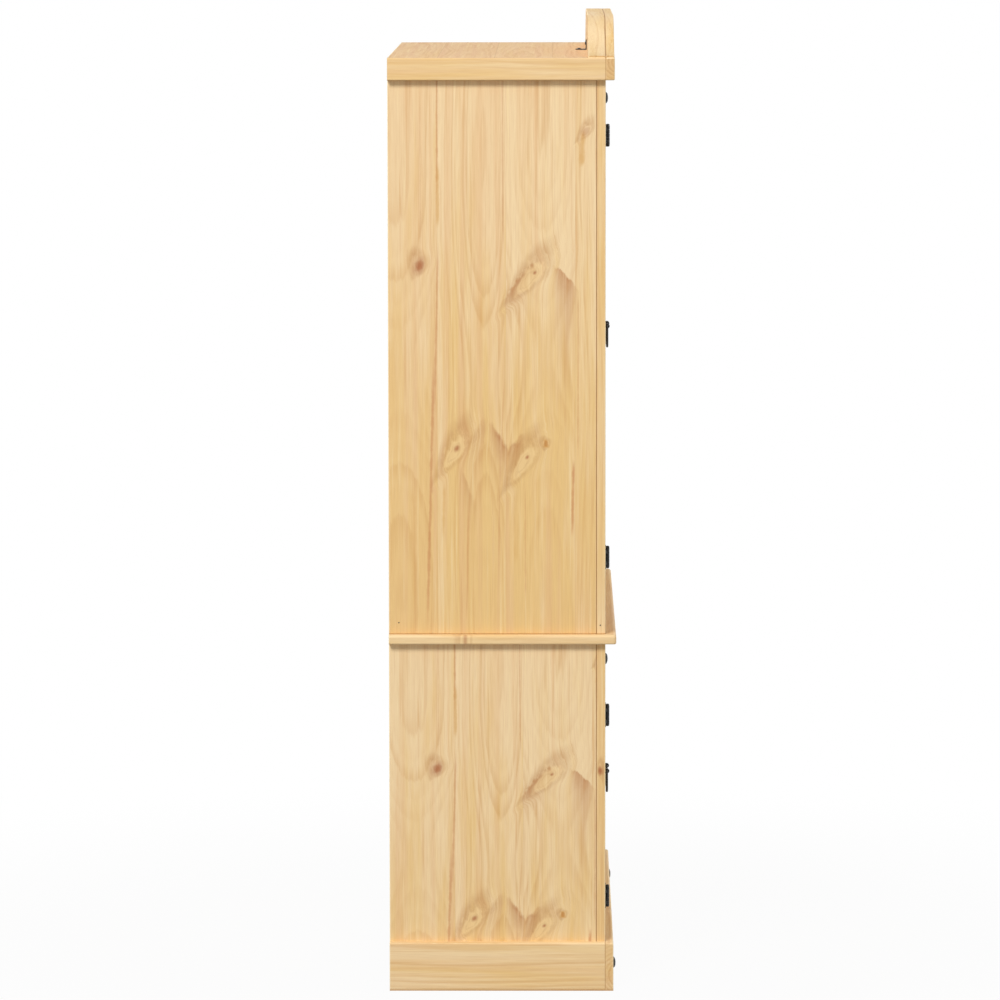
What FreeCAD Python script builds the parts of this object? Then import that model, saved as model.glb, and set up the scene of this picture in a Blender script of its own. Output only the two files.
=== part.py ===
"""Two-piece pine display cabinet: a base case with two panelled doors and a worktop, and a hutch on it with two
glazed doors, a cornice and a raised crest board. Black iron hinges, ring pulls and dome-headed nails.

Millimetres. X is the width, the front faces -Y, Z is up. The origin is the middle of the footprint, on the floor.
"""

import FreeCAD, Part
import math
import os

from FreeCAD import Vector

# Whole cabinet
overall_width = 1120.0
case_depth = 412.0
side_overhang = 16.0
worktop_front_overhang = 20.5

# Heights of the two cases
base_height = 667.0
worktop_thickness = 18.0
hutch_height = 1094.0

# Boards of the cases
side_thickness = 17.0
frame_thickness = 17.0
corner_stile_width = 50.0
board_thickness = 17.0
back_panel_thickness = 6.0
edge_rounding = 1.5
worktop_top_rounding = 6.0
worktop_bottom_rounding = 3.0

# Plinth, planted on the front and the sides of the base
plinth_height = 93.0
plinth_thickness = 15.5
plinth_rounding = 4.5

# Cornice, planted round the top of the hutch
cornice_height = 42.0
cornice_front_thickness = 17.0
cornice_rounding = 2.5

# Crest on top of the hutch
crest_height = 75.0
crest_end_inset = 4.0
crest_end_height = 4.0
crest_shoulder_length = 265.0
crest_front_thickness = 16.5
crest_back_thickness = 33.0
crest_edge_rounding = 1.5

# Angle bracket behind the crest
bracket_width = 18.0
bracket_leg = 22.0
bracket_rise = 20.0
bracket_thickness = 2.0
bracket_screw_inset = 7.0

# Doors
door_gap = 2.0
meeting_gap = 3.0
base_bottom_board_top = 96.0
base_top_rail_height = 67.0
hutch_bottom_rail_height = 75.0
hutch_top_rail_height = 64.0
door_thickness = 17.0
door_stile_width = 72.0
door_rail_height = 78.0
tenon_length = 30.0
tenon_thickness = 6.0
tenon_shoulder = 12.0
joint_clearance = 0.15

# Glass, held in a rebate by beads
glass_thickness = 4.0
rebate_width = 9.0
glass_lip = 6.8
glass_clearance = 0.3
bead_width = 8.6

# Raised panel of a base door, held in a groove
groove_depth = 9.0
groove_width = 6.0
groove_from_face = 5.5
panel_clearance = 0.2
panel_bevel_width = 30.0
panel_step = 1.2
panel_set_back = 1.5

# Shelves and what they stand on
base_shelf_lift = 236.0
hutch_bottom_board_lift = 13.0
shelf_front_setback = 26.0
shelf_side_clearance = 1.0
pin_radius = 2.5
pin_length = 17.0
pin_socket_depth = 9.0
pin_inset = 55.0
pin_clearance = 0.05

# Dome-headed nails
clavo_radius = 10.75
clavo_dome_height = 4.5
clavo_shank_radius = 1.6
clavo_shank_length = 12.0
clavo_below_worktop = 32.0
clavo_below_cornice = 34.0
clavo_plinth_height = 48.0
clavo_plinth_inset = 42.0

# Small nails in the foot of the hutch
side_nail_radius = 1.3
side_nail_length = 26.0
side_nail_front_height = 17.0
side_nail_front_inset = 9.6
side_nail_rear_height = 22.0
side_nail_rear_inset = 19.0

# Face hinges
hinge_axis_from_face = 4.4
knuckle_radius = 3.6
knuckle_height = 7.1
knuckle_gap = 0.3
knuckle_count = 5
hinge_pin_radius = 1.7
hinge_pin_clearance = 0.05
hinge_tip_radius = 3.4
hinge_tip_height = 3.0
leaf_thickness = 1.5
leaf_reach = 27.0
leaf_corner_reach = 22.0
leaf_outer_height = 42.0
leaf_waist_height = 29.0
base_hinge_inset = 75.0
hutch_hinge_inset = 65.0

# Screws of the hinges and of the bracket
screw_head_radius = 3.2
screw_head_height = 1.7
screw_shank_radius = 1.5
screw_length = 12.0
screw_reach = 15.0
screw_half_spacing = 11.0
screw_clearance = 0.15

# Ring pulls
pull_axis_from_face = 7.5
pull_plate_radius = 6.5
pull_plate_thickness = 1.6
pull_plate_bevel = 0.9
pull_boss_radius = 4.5
pull_boss_height = 1.0
eye_radius = 5.0
eye_length = 7.0
eye_neck_radius = 2.6
eye_bolt_radius = 2.0
eye_bolt_clearance = 0.1
eye_bolt_length = 23.0
nut_across_flats = 7.0
nut_thickness = 3.2
washer_radius = 5.0
washer_thickness = 1.0
ring_wire_radius = 2.25
ring_bore_clearance = 0.08
ring_straight_half = 4.6
ring_corner_radius = 4.0
ring_leg_slant = math.radians(12)
ring_drop = 27.0
hutch_pull_above_middle = 6.0
base_pull_below_middle = 1.0

# Magnetic catches
catch_width = 46.0
catch_depth = 13.0
catch_height = 30.0
catch_overlap = 15.0
catch_strike_gap = 0.3
catch_inset = 30.0
strike_width = 34.0
strike_height = 12.0
strike_thickness = 1.0

# Places that follow from the sizes above
half_width = overall_width / 2
case_half_width = half_width - side_overhang
inside_half_width = case_half_width - side_thickness
opening_half_width = case_half_width - corner_stile_width
overall_depth = case_depth + worktop_front_overhang
back_plane = overall_depth / 2
face_plane = back_plane - case_depth
frame_back = face_plane + frame_thickness
panel_front = back_plane - back_panel_thickness
worktop_top = base_height + worktop_thickness
hutch_top = worktop_top + hutch_height
top_board_underside = hutch_top - board_thickness
cornice_bottom = hutch_top - cornice_height
hutch_board_bottom = worktop_top + hutch_bottom_board_lift
hutch_board_top = hutch_board_bottom + board_thickness
hutch_shelf_spacing = (top_board_underside + board_thickness - hutch_board_top) / 3
base_shelf_height = base_bottom_board_top + base_shelf_lift
base_door_bottom = base_bottom_board_top + door_gap
base_door_top = base_height - base_top_rail_height - door_gap
hutch_door_bottom = worktop_top + hutch_bottom_rail_height + door_gap
hutch_door_top = top_board_underside - hutch_top_rail_height - door_gap
door_hinge_edge = opening_half_width - door_gap
door_free_edge = meeting_gap / 2
door_back = face_plane + door_thickness
hinge_axis_x = opening_half_width - door_gap / 2
hinge_axis_y = face_plane - hinge_axis_from_face
hinge_height = knuckle_count * knuckle_height + (knuckle_count - 1) * knuckle_gap
pull_x = door_free_edge + door_stile_width / 2
pull_axis_y = face_plane - pull_axis_from_face
base_pull_height = (base_door_bottom + base_door_top) / 2 - base_pull_below_middle
hutch_pull_height = (hutch_door_bottom + hutch_door_top) / 2 + hutch_pull_above_middle


def block(x_limits, y_limits, z_limits):
    """A sharp box between two limits on each axis."""
    size = [high - low for low, high in (x_limits, y_limits, z_limits)]
    corner = Vector(x_limits[0], y_limits[0], z_limits[0])
    return Part.makeBox(size[0], size[1], size[2], corner)


def board(x_limits, y_limits, z_limits, rounding=edge_rounding):
    """A board with all its edges eased by a small rounding."""
    solid = block(x_limits, y_limits, z_limits)
    return solid.makeFillet(rounding, solid.Edges)


def edges_where(solid, test, middle_test=None):
    """The edges whose two ends and middle pass a test, and whose middle passes a second one."""
    chosen = []
    for edge in solid.Edges:
        start, end = edge.ParameterRange
        points = [edge.valueAt(value) for value in (start, (start + end) / 2, end)]
        if not all(test(point) for point in points):
            continue
        if middle_test is None or middle_test(points[1]):
            chosen.append(edge)
    return chosen


def near(value, target):
    """True where a coordinate lies on a plane."""
    return abs(value - target) < joint_clearance


def rod(start, direction, radius, length):
    """A round bar from a point along a direction."""
    return Part.makeCylinder(radius, length, start, direction)


def dome(centre, direction, radius, height):
    """A spherical cap on a flat circle, with its top along the direction."""
    ball_radius = (radius ** 2 + height ** 2) / (2 * height)
    half_angle = math.asin(radius / ball_radius) / 2
    across = ball_radius * math.sin(half_angle)
    up = ball_radius * math.cos(half_angle) - (ball_radius - height)
    foot = Vector(0, 0, 0)
    rim = Vector(radius, 0, 0)
    top = Vector(0, 0, height)
    outline = Part.Wire([
        Part.LineSegment(foot, rim).toShape(),
        Part.Arc(rim, Vector(across, 0, up), top).toShape(),
        Part.LineSegment(top, foot).toShape(),
    ])
    cap = Part.Face(outline).revolve(foot, Vector(0, 0, 1), 360)
    cap.Placement = FreeCAD.Placement(centre, FreeCAD.Rotation(Vector(0, 0, 1), direction))
    return cap


def mirrored(solid):
    """The same solid on the other side of the middle of the width."""
    return solid.mirror(Vector(0, 0, 0), Vector(1, 0, 0))


def on_side(solid, side):
    """A solid drawn on the left side (low X), or its twin on the right."""
    if side == "left":
        return solid
    return mirrored(solid)


def save(name, solids):
    """Write one node, as one solid or as a group of separate solids."""
    if len(solids) == 1:
        shape = solids[0]
    else:
        shape = Part.makeCompound(solids)
    shape.exportStep(os.path.join("parts", name + ".step"))


# Base case

def side_board(bottom, top):
    """Left side of a case, from its back edge to the back of the front frame."""
    x_limits = (-case_half_width, -inside_half_width)
    return board(x_limits, (frame_back, back_plane), (bottom, top))


def corner_stile(bottom, top):
    """Left corner stile of a front frame."""
    x_limits = (-case_half_width, -opening_half_width)
    return board(x_limits, (face_plane, frame_back), (bottom, top))


def frame_rail(bottom, top):
    """Rail of a front frame, between the corner stiles."""
    x_limits = (-opening_half_width, opening_half_width)
    return board(x_limits, (face_plane, frame_back), (bottom, top))


def back_panel(bottom, top):
    """Thin panel between the two sides, flush with their back edges."""
    x_limits = (-inside_half_width, inside_half_width)
    return block(x_limits, (panel_front, back_plane), (bottom, top))


def base_bottom_board():
    """Bottom of the base, notched round the corner stiles and level with the front."""
    z_limits = (base_bottom_board_top - board_thickness, base_bottom_board_top)
    inside = block((-inside_half_width, inside_half_width), (frame_back, panel_front), z_limits)
    tongue = block((-opening_half_width, opening_half_width), (face_plane, frame_back), z_limits)
    return inside.fuse(tongue).removeSplitter()


def shelf(underside):
    """Loose shelf on its pins, set back behind the doors."""
    reach = inside_half_width - shelf_side_clearance
    y_limits = (frame_back + shelf_front_setback, panel_front - shelf_side_clearance)
    return board((-reach, reach), y_limits, (underside, underside + board_thickness))


def plinth_front():
    """Front plinth board, over the ends of the side boards, with a rounded top edge."""
    reach = case_half_width + plinth_thickness
    solid = block((-reach, reach), (face_plane - plinth_thickness, face_plane), (0, plinth_height))
    corners = edges_where(solid, lambda p: near(p.y, face_plane - plinth_thickness) and near(abs(p.x), reach))
    solid = solid.makeFillet(edge_rounding, corners)
    top = edges_where(solid, lambda p: near(p.z, plinth_height), lambda p: not near(p.y, face_plane))
    return solid.makeFillet(plinth_rounding, top)


def rounded_side_strip(x_limits, z_limits, rounding, rounded_bottom):
    """A board planted on the left side of a case, rounded along its outer edges."""
    solid = block(x_limits, (face_plane, back_plane), z_limits)
    edges = edges_where(solid, lambda p: near(p.x, x_limits[0]) and near(p.z, z_limits[1]))
    if rounded_bottom:
        edges += edges_where(solid, lambda p: near(p.x, x_limits[0]) and near(p.z, z_limits[0]))
    return solid.makeFillet(rounding, edges)


def worktop():
    """Worktop slab, flush at the back, with rounded front and end edges."""
    front = face_plane - worktop_front_overhang
    solid = block((-half_width, half_width), (front, back_plane), (base_height, worktop_top))
    corners = edges_where(solid, lambda p: near(p.y, front) and near(abs(p.x), half_width))
    solid = solid.makeFillet(worktop_top_rounding, corners)
    top = edges_where(solid, lambda p: near(p.z, worktop_top), lambda p: not near(p.y, back_plane))
    solid = solid.makeFillet(worktop_top_rounding, top)
    bottom = edges_where(solid, lambda p: near(p.z, base_height), lambda p: not near(p.y, back_plane))
    return solid.makeFillet(worktop_bottom_rounding, bottom)


# Hutch

def hutch_bottom_board():
    """Bottom of the hutch, behind the front frame."""
    x_limits = (-inside_half_width, inside_half_width)
    return block(x_limits, (frame_back, panel_front), (hutch_board_bottom, hutch_board_top))


def hutch_top_board():
    """Top of the hutch, on the sides and the front frame, level with the cornice."""
    x_limits = (-case_half_width, case_half_width)
    return block(x_limits, (face_plane, back_plane), (top_board_underside, hutch_top))


def cornice_front():
    """Front cornice board, whose sawn ends show on the sides."""
    front = face_plane - cornice_front_thickness
    solid = block((-half_width, half_width), (front, face_plane), (cornice_bottom, hutch_top))
    edges = edges_where(solid, lambda p: True, lambda p: not near(p.y, face_plane))
    return solid.makeFillet(cornice_rounding, edges)


def crest_outline():
    """Outline of the crest in the XZ plane: an ogee shoulder at each end and a long level top between them."""
    end = half_width - crest_end_inset
    plateau = end - crest_shoulder_length
    top = hutch_top + crest_height
    tip = hutch_top + crest_end_height
    rise = top - tip
    radius = (crest_shoulder_length ** 2 + rise ** 2) / (4 * rise)
    half_angle = math.asin(crest_shoulder_length / 2 / radius) / 2
    across = radius * math.sin(half_angle)
    up = radius * (1 - math.cos(half_angle))

    def point(x, z):
        return Vector(x, 0, z)

    middle = point((end + plateau) / 2, (tip + top) / 2)
    right = [
        Part.LineSegment(point(end, hutch_top), point(end, tip)).toShape(),
        Part.Arc(point(end, tip), point(end - across, tip + up), middle).toShape(),
        Part.Arc(middle, point(plateau + across, top - up), point(plateau, top)).toShape(),
    ]
    left = [mirrored(edge) for edge in right]
    level_top = Part.LineSegment(point(-plateau, top), point(plateau, top)).toShape()
    foot = Part.LineSegment(point(-end, hutch_top), point(end, hutch_top)).toShape()
    return Part.Wire(Part.__sortEdges__(right + left + [level_top, foot]))


def crest_board(front, thickness):
    """One of the two layers of the crest, with its two long outlines eased."""
    solid = Part.Face(crest_outline()).extrude(Vector(0, thickness, 0))
    solid.translate(Vector(0, front, 0))
    edges = edges_where(solid, lambda p: near(p.y, front) or near(p.y, front + thickness))
    shown = [edge for edge in edges if edge.BoundBox.ZMax > hutch_top + joint_clearance]
    return solid.makeFillet(crest_edge_rounding, shown)


def crest_bracket():
    """Iron angle behind the middle of the crest, and its two screws."""
    crest_rear = face_plane + crest_back_thickness
    half = bracket_width / 2
    leg = block(
        (-half, half), (crest_rear, crest_rear + bracket_leg), (hutch_top, hutch_top + bracket_thickness))
    rise = block(
        (-half, half), (crest_rear, crest_rear + bracket_thickness), (hutch_top, hutch_top + bracket_rise))
    angle = leg.fuse(rise).removeSplitter()
    leg_spot = Vector(0, crest_rear + bracket_leg - bracket_screw_inset, hutch_top + bracket_thickness)
    rise_spot = Vector(0, crest_rear + bracket_thickness, hutch_top + bracket_rise - bracket_screw_inset)
    spots = [(leg_spot, Vector(0, 0, 1)), (rise_spot, Vector(0, 1, 0))]
    solids = []
    for spot, out in spots:
        angle = angle.cut(screw_hole(spot, out))
        solids.append(screw(spot, out))
    return [angle] + solids


# Screws and nails

def screw(spot, out):
    """Round-headed screw seated at a spot, with its shank going in."""
    head = dome(spot, out, screw_head_radius, screw_head_height)
    return head.fuse(rod(spot, out * -1, screw_shank_radius, screw_length))


def screw_hole(spot, out):
    """The hole that the screw passes through in thin metal."""
    radius = screw_shank_radius + screw_clearance
    return rod(spot + out * screw_length, out * -1, radius, 2 * screw_length)


def clavo(x, face, z):
    """Dome-headed nail on a face that looks to the front."""
    spot = Vector(x, face, z)
    head = dome(spot, Vector(0, -1, 0), clavo_radius, clavo_dome_height)
    return head.fuse(rod(spot, Vector(0, 1, 0), clavo_shank_radius, clavo_shank_length))


def clavos():
    """The six dome-headed nails: on the corner stiles and near the ends of the plinth."""
    stile_x = (case_half_width + opening_half_width) / 2
    plinth_x = case_half_width + plinth_thickness - clavo_plinth_inset
    places = [
        (stile_x, face_plane, cornice_bottom - clavo_below_cornice),
        (stile_x, face_plane, base_height - clavo_below_worktop),
        (plinth_x, face_plane - plinth_thickness, clavo_plinth_height),
    ]
    left = [clavo(-x, face, z) for x, face, z in places]
    return left + [mirrored(nail) for nail in left]


def side_nails():
    """Two small nails in each side, just above the worktop."""
    front_y = face_plane + side_nail_front_inset
    rear_y = back_plane - side_nail_rear_inset
    spots = [
        Vector(-case_half_width, front_y, worktop_top + side_nail_front_height),
        Vector(-case_half_width, rear_y, worktop_top + side_nail_rear_height),
    ]
    left = [rod(spot, Vector(1, 0, 0), side_nail_radius, side_nail_length) for spot in spots]
    return left + [mirrored(nail) for nail in left]


# Shelf pins

def pin_spots(underside):
    """Where the pins of one shelf enter the left side."""
    front_y = frame_back + shelf_front_setback + pin_inset
    rear_y = panel_front - pin_inset
    return [Vector(-inside_half_width - pin_socket_depth, y, underside - pin_radius) for y in (front_y, rear_y)]


def pin_sockets(side, undersides):
    """The left side with a blind hole for each shelf pin."""
    for underside in undersides:
        for spot in pin_spots(underside):
            socket = rod(spot, Vector(1, 0, 0), pin_radius + pin_clearance, pin_socket_depth + pin_length)
            side = side.cut(socket)
    return side


def shelf_pins(undersides):
    """Round pins that carry the shelves."""
    left = []
    for underside in undersides:
        left += [rod(spot, Vector(1, 0, 0), pin_radius, pin_length) for spot in pin_spots(underside)]
    return left + [mirrored(pin) for pin in left]


# Hinges, drawn on the left door with their axis upright

def leaf_plate(outward):
    """Flat leaf against the face, with a waisted outline. Outward is -1 on the frame and 1 on the door."""
    start = knuckle_radius + knuckle_gap

    def point(reach, z):
        return Vector(outward * reach, 0, z)

    waist = (start + leaf_corner_reach) / 2
    half = hinge_height / 2
    outer = leaf_outer_height / 2
    outline = Part.Wire([
        Part.LineSegment(point(start, -half), point(start, half)).toShape(),
        Part.Arc(point(start, half), point(waist, leaf_waist_height / 2), point(leaf_corner_reach, outer)).toShape(),
        Part.Arc(point(leaf_corner_reach, outer), point(leaf_reach, 0), point(leaf_corner_reach, -outer)).toShape(),
        Part.Arc(point(leaf_corner_reach, -outer), point(waist, -leaf_waist_height / 2), point(start, -half)).toShape(),
    ])
    plate = Part.Face(outline).extrude(Vector(0, leaf_thickness, 0))
    plate.translate(Vector(0, hinge_axis_from_face - leaf_thickness, 0))
    return plate


def leaf_with_knuckles(outward, first):
    """A leaf and every other knuckle from the first, bored for the pin."""
    leaf = leaf_plate(outward)
    pitch = knuckle_height + knuckle_gap
    for index in range(first, knuckle_count, 2):
        low = index * pitch - hinge_height / 2
        knuckle = rod(Vector(0, 0, low), Vector(0, 0, 1), knuckle_radius, knuckle_height)
        far = outward * (knuckle_radius + 2 * knuckle_gap)
        tab = block(
            (min(0, far), max(0, far)),
            (hinge_axis_from_face - leaf_thickness, hinge_axis_from_face),
            (low, low + knuckle_height))
        leaf = leaf.fuse(knuckle).fuse(tab)
    bore = rod(Vector(0, 0, -hinge_height), Vector(0, 0, 1), hinge_pin_radius + hinge_pin_clearance, 2 * hinge_height)
    leaf = leaf.cut(bore)
    for z in (-screw_half_spacing, screw_half_spacing):
        leaf = leaf.cut(screw_hole(leaf_screw_spot(outward, z), Vector(0, -1, 0)))
    return leaf.removeSplitter()


def leaf_screw_spot(outward, z):
    """Where a screw sits on the front of a leaf."""
    return Vector(outward * screw_reach, hinge_axis_from_face - leaf_thickness, z)


def leaf_screws(outward):
    """The two screws of a leaf."""
    return [screw(leaf_screw_spot(outward, z), Vector(0, -1, 0)) for z in (-screw_half_spacing, screw_half_spacing)]


def hinge_pin():
    """Pin through all the knuckles, with a small dome over each end."""
    bottom = Vector(0, 0, -hinge_height / 2 - knuckle_gap)
    top = Vector(0, 0, hinge_height / 2 + knuckle_gap)
    pin = rod(bottom, Vector(0, 0, 1), hinge_pin_radius, hinge_height + 2 * knuckle_gap)
    pin = pin.fuse(dome(top, Vector(0, 0, 1), hinge_tip_radius, hinge_tip_height))
    return pin.fuse(dome(bottom, Vector(0, 0, -1), hinge_tip_radius, hinge_tip_height))


def hinge_centres(bottom, top, inset):
    """The two hinge centres of a left door."""
    return [Vector(-hinge_axis_x, hinge_axis_y, z) for z in (bottom + inset, top - inset)]


def placed(solids, centre):
    """Copies of solids moved from the origin to a centre."""
    moved = []
    for solid in solids:
        copy = solid.copy()
        copy.translate(centre)
        moved.append(copy)
    return moved


def frame_hinge_leaves():
    """The leaves, pins and screws on the frame, for all eight hinges."""
    centres = hinge_centres(base_door_bottom, base_door_top, base_hinge_inset)
    centres += hinge_centres(hutch_door_bottom, hutch_door_top, hutch_hinge_inset)
    solids = [leaf_with_knuckles(-1, 0), hinge_pin()] + leaf_screws(-1)
    left = []
    for centre in centres:
        left += placed(solids, centre)
    return left + [mirrored(solid) for solid in left]


def door_hinge_leaves(centres):
    """The leaves and screws on one left door."""
    solids = [leaf_with_knuckles(1, 1)] + leaf_screws(1)
    group = []
    for centre in centres:
        group += placed(solids, centre)
    return group


# Doors, drawn on the left

def tenon(x_limits, rail_bottom, slack):
    """Tenon of a rail, or its mortise when there is slack."""
    middle = face_plane + door_thickness / 2
    half = tenon_thickness / 2 + slack
    z_limits = (rail_bottom + tenon_shoulder - slack, rail_bottom + door_rail_height - tenon_shoulder + slack)
    return block(x_limits, (middle - half, middle + half), z_limits)


def door_stiles(bottom, top):
    """Hinge stile and meeting stile, with the mortises for the rails."""
    outer = (-door_hinge_edge, -door_hinge_edge + door_stile_width)
    inner = (-door_free_edge - door_stile_width, -door_free_edge)
    stiles = []
    for x_limits in (outer, inner):
        stile = board(x_limits, (face_plane, door_back), (bottom, top))
        for rail_bottom in (bottom, top - door_rail_height):
            reach = tenon_length + joint_clearance
            stile = stile.cut(tenon((outer[1] - reach, inner[0] + reach), rail_bottom, joint_clearance))
        stiles.append(stile)
    return stiles


def door_rails(bottom, top):
    """Bottom and top rail, with a tenon at each end."""
    left = -door_hinge_edge + door_stile_width
    right = -door_free_edge - door_stile_width
    rails = []
    for rail_bottom in (bottom, top - door_rail_height):
        rail = board((left, right), (face_plane, door_back), (rail_bottom, rail_bottom + door_rail_height))
        rails.append(rail.fuse(tenon((left - tenon_length, right + tenon_length), rail_bottom, 0)))
    return rails


def door_hole(bottom, top, margin, y_limits):
    """The space inside a door's stiles and rails, made larger all round by a margin."""
    x_limits = (-door_hinge_edge + door_stile_width - margin, -door_free_edge - door_stile_width + margin)
    z_limits = (bottom + door_rail_height - margin, top - door_rail_height + margin)
    return block(x_limits, y_limits, z_limits)


def glazing_beads(bottom, top):
    """Four square beads behind the glass, the upright ones between the level ones."""
    y_limits = (face_plane + glass_lip + glass_thickness + glass_clearance, door_back)
    left = -door_hinge_edge + door_stile_width - rebate_width + glass_clearance
    right = -door_free_edge - door_stile_width + rebate_width - glass_clearance
    low = bottom + door_rail_height - rebate_width + glass_clearance
    high = top - door_rail_height + rebate_width - glass_clearance
    upright = (low + bead_width, high - bead_width)
    return [
        block((left, right), y_limits, (low, low + bead_width)),
        block((left, right), y_limits, (high - bead_width, high)),
        block((left, left + bead_width), y_limits, upright),
        block((right - bead_width, right), y_limits, upright),
    ]


def level_rectangle(hole, margin, y):
    """A rectangle in an upright plane, set in from the outline of a hole."""
    box = hole.BoundBox
    corners = [
        Vector(box.XMin + margin, y, box.ZMin + margin),
        Vector(box.XMax - margin, y, box.ZMin + margin),
        Vector(box.XMax - margin, y, box.ZMax - margin),
        Vector(box.XMin + margin, y, box.ZMax - margin),
    ]
    return Part.makePolygon(corners + corners[:1])


def raised_panel(bottom, top):
    """Panel with a tongue in the groove and a raised field with bevelled sides."""
    tongue_front = face_plane + groove_from_face + panel_clearance
    tongue_back = face_plane + groove_from_face + groove_width - panel_clearance
    field = face_plane + panel_set_back
    margin = groove_depth - panel_clearance
    tongue = door_hole(bottom, top, margin, (tongue_front, tongue_back))
    sight = door_hole(bottom, top, -panel_clearance, (tongue_front, tongue_back))
    slope = Part.makeLoft([
        level_rectangle(sight, 0, tongue_front),
        level_rectangle(sight, panel_bevel_width, field + panel_step),
    ], True, True)
    raised = door_hole(bottom, top, -panel_clearance - panel_bevel_width, (field, tongue_front))
    return tongue.fuse(slope).fuse(raised).removeSplitter()


def pull_hole(z):
    """Hole through the meeting stile for the eye bolt."""
    spot = Vector(-pull_x, face_plane - door_thickness, z)
    return rod(spot, Vector(0, 1, 0), eye_bolt_radius + eye_bolt_clearance, 3 * door_thickness)


def pull_fittings(z):
    """Round plate, eye bolt through the stile, washer and nut behind it."""
    inward = Vector(0, 1, 0)
    face = Vector(-pull_x, face_plane, z)
    plate = rod(face, inward * -1, pull_plate_radius, pull_plate_thickness)
    rim = edges_where(plate, lambda p: near(p.y, face_plane - pull_plate_thickness))
    plate = plate.makeChamfer(pull_plate_bevel, rim)
    boss_spot = face - inward * pull_plate_thickness
    plate = plate.fuse(dome(boss_spot, inward * -1, pull_boss_radius, pull_boss_height))
    plate = plate.cut(pull_hole(z))
    axis_spot = Vector(-pull_x - eye_length / 2, pull_axis_y, z)
    eye = rod(axis_spot, Vector(1, 0, 0), eye_radius, eye_length)
    neck_start = Vector(-pull_x, pull_axis_y, z)
    neck_length = pull_axis_from_face - pull_plate_thickness - pull_boss_height
    eye = eye.fuse(rod(neck_start, inward, eye_neck_radius, neck_length))
    eye = eye.fuse(rod(neck_start, inward, eye_bolt_radius, eye_bolt_length + pull_axis_from_face))
    eye = eye.cut(rod(axis_spot, Vector(1, 0, 0), ring_wire_radius + ring_bore_clearance, eye_length))
    rear = Vector(-pull_x, door_back, z)
    washer = rod(rear, inward, washer_radius, washer_thickness)
    washer = washer.cut(rod(rear, inward, eye_bolt_radius + eye_bolt_clearance, washer_thickness))
    nut = hexagon_nut(rear + inward * washer_thickness)
    return [plate, eye, washer, nut]


def hexagon_nut(spot):
    """Six-sided nut on the end of the eye bolt."""
    corner_radius = nut_across_flats / 2 / math.cos(math.radians(30))
    corners = []
    for turn in range(0, 361, 60):
        angle = math.radians(turn)
        corners.append(spot + Vector(corner_radius * math.cos(angle), 0, corner_radius * math.sin(angle)))
    nut = Part.Face(Part.makePolygon(corners)).extrude(Vector(0, nut_thickness, 0))
    return nut.cut(rod(spot, Vector(0, 1, 0), eye_bolt_radius + eye_bolt_clearance, nut_thickness))


def ring(z):
    """Pear-shaped iron ring. Its short straight top turns in the eye."""
    slant_cos = math.cos(ring_leg_slant)
    slant_sin = math.sin(ring_leg_slant)
    half_turn = (math.pi / 2 - ring_leg_slant) / 2
    bow_radius = ring_drop * slant_sin + ring_straight_half * slant_cos + ring_corner_radius * (1 - slant_sin)

    def point(x, z_down):
        return Vector(x, 0, -z_down)

    top_left = point(-ring_straight_half, 0)
    top_right = point(ring_straight_half, 0)
    corner_middle = point(
        ring_straight_half + ring_corner_radius * math.sin(half_turn),
        ring_corner_radius * (1 - math.cos(half_turn)))
    leg_top = point(
        ring_straight_half + ring_corner_radius * slant_cos,
        ring_corner_radius * (1 - slant_sin))
    leg_bottom = point(bow_radius * slant_cos, ring_drop - bow_radius * slant_sin)
    bow_bottom = point(0, ring_drop + bow_radius)
    right = [
        Part.Arc(top_right, corner_middle, leg_top).toShape(),
        Part.LineSegment(leg_top, leg_bottom).toShape(),
    ]
    left = [mirrored(edge) for edge in right]
    bow = Part.Arc(leg_bottom, bow_bottom, Vector(-leg_bottom.x, 0, leg_bottom.z)).toShape()
    top = Part.LineSegment(top_left, top_right).toShape()
    path = Part.Wire(Part.__sortEdges__([top] + right + [bow] + left))
    section = Part.Wire([Part.Circle(Vector(0, 0, 0), Vector(1, 0, 0), ring_wire_radius).toShape()])
    wire = path.makePipeShell([section], True, False)
    wire.translate(Vector(-pull_x, pull_axis_y, z))
    return wire


def strike(door_top):
    """Strike plate of the catch, on the back of the door."""
    x = -door_free_edge - catch_inset - catch_width / 2
    middle = door_top - catch_overlap / 2
    half = strike_width / 2
    z_limits = (middle - strike_height / 2, middle + strike_height / 2)
    return block((x - half, x + half), (door_back, door_back + strike_thickness), z_limits)


def catch(door_top):
    """Magnetic catch behind the top rail. Its lower half meets the strike plate."""
    x = -door_free_edge - catch_inset - catch_width / 2
    x_limits = (x - catch_width / 2, x + catch_width / 2)
    front = door_back + strike_thickness + catch_strike_gap
    low = door_top - catch_overlap
    rail_bottom = door_top + door_gap
    body = block(x_limits, (front, front + catch_depth), (low, low + catch_height))
    foot = block(x_limits, (frame_back, front), (rail_bottom, low + catch_height))
    return body.fuse(foot).removeSplitter()


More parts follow.
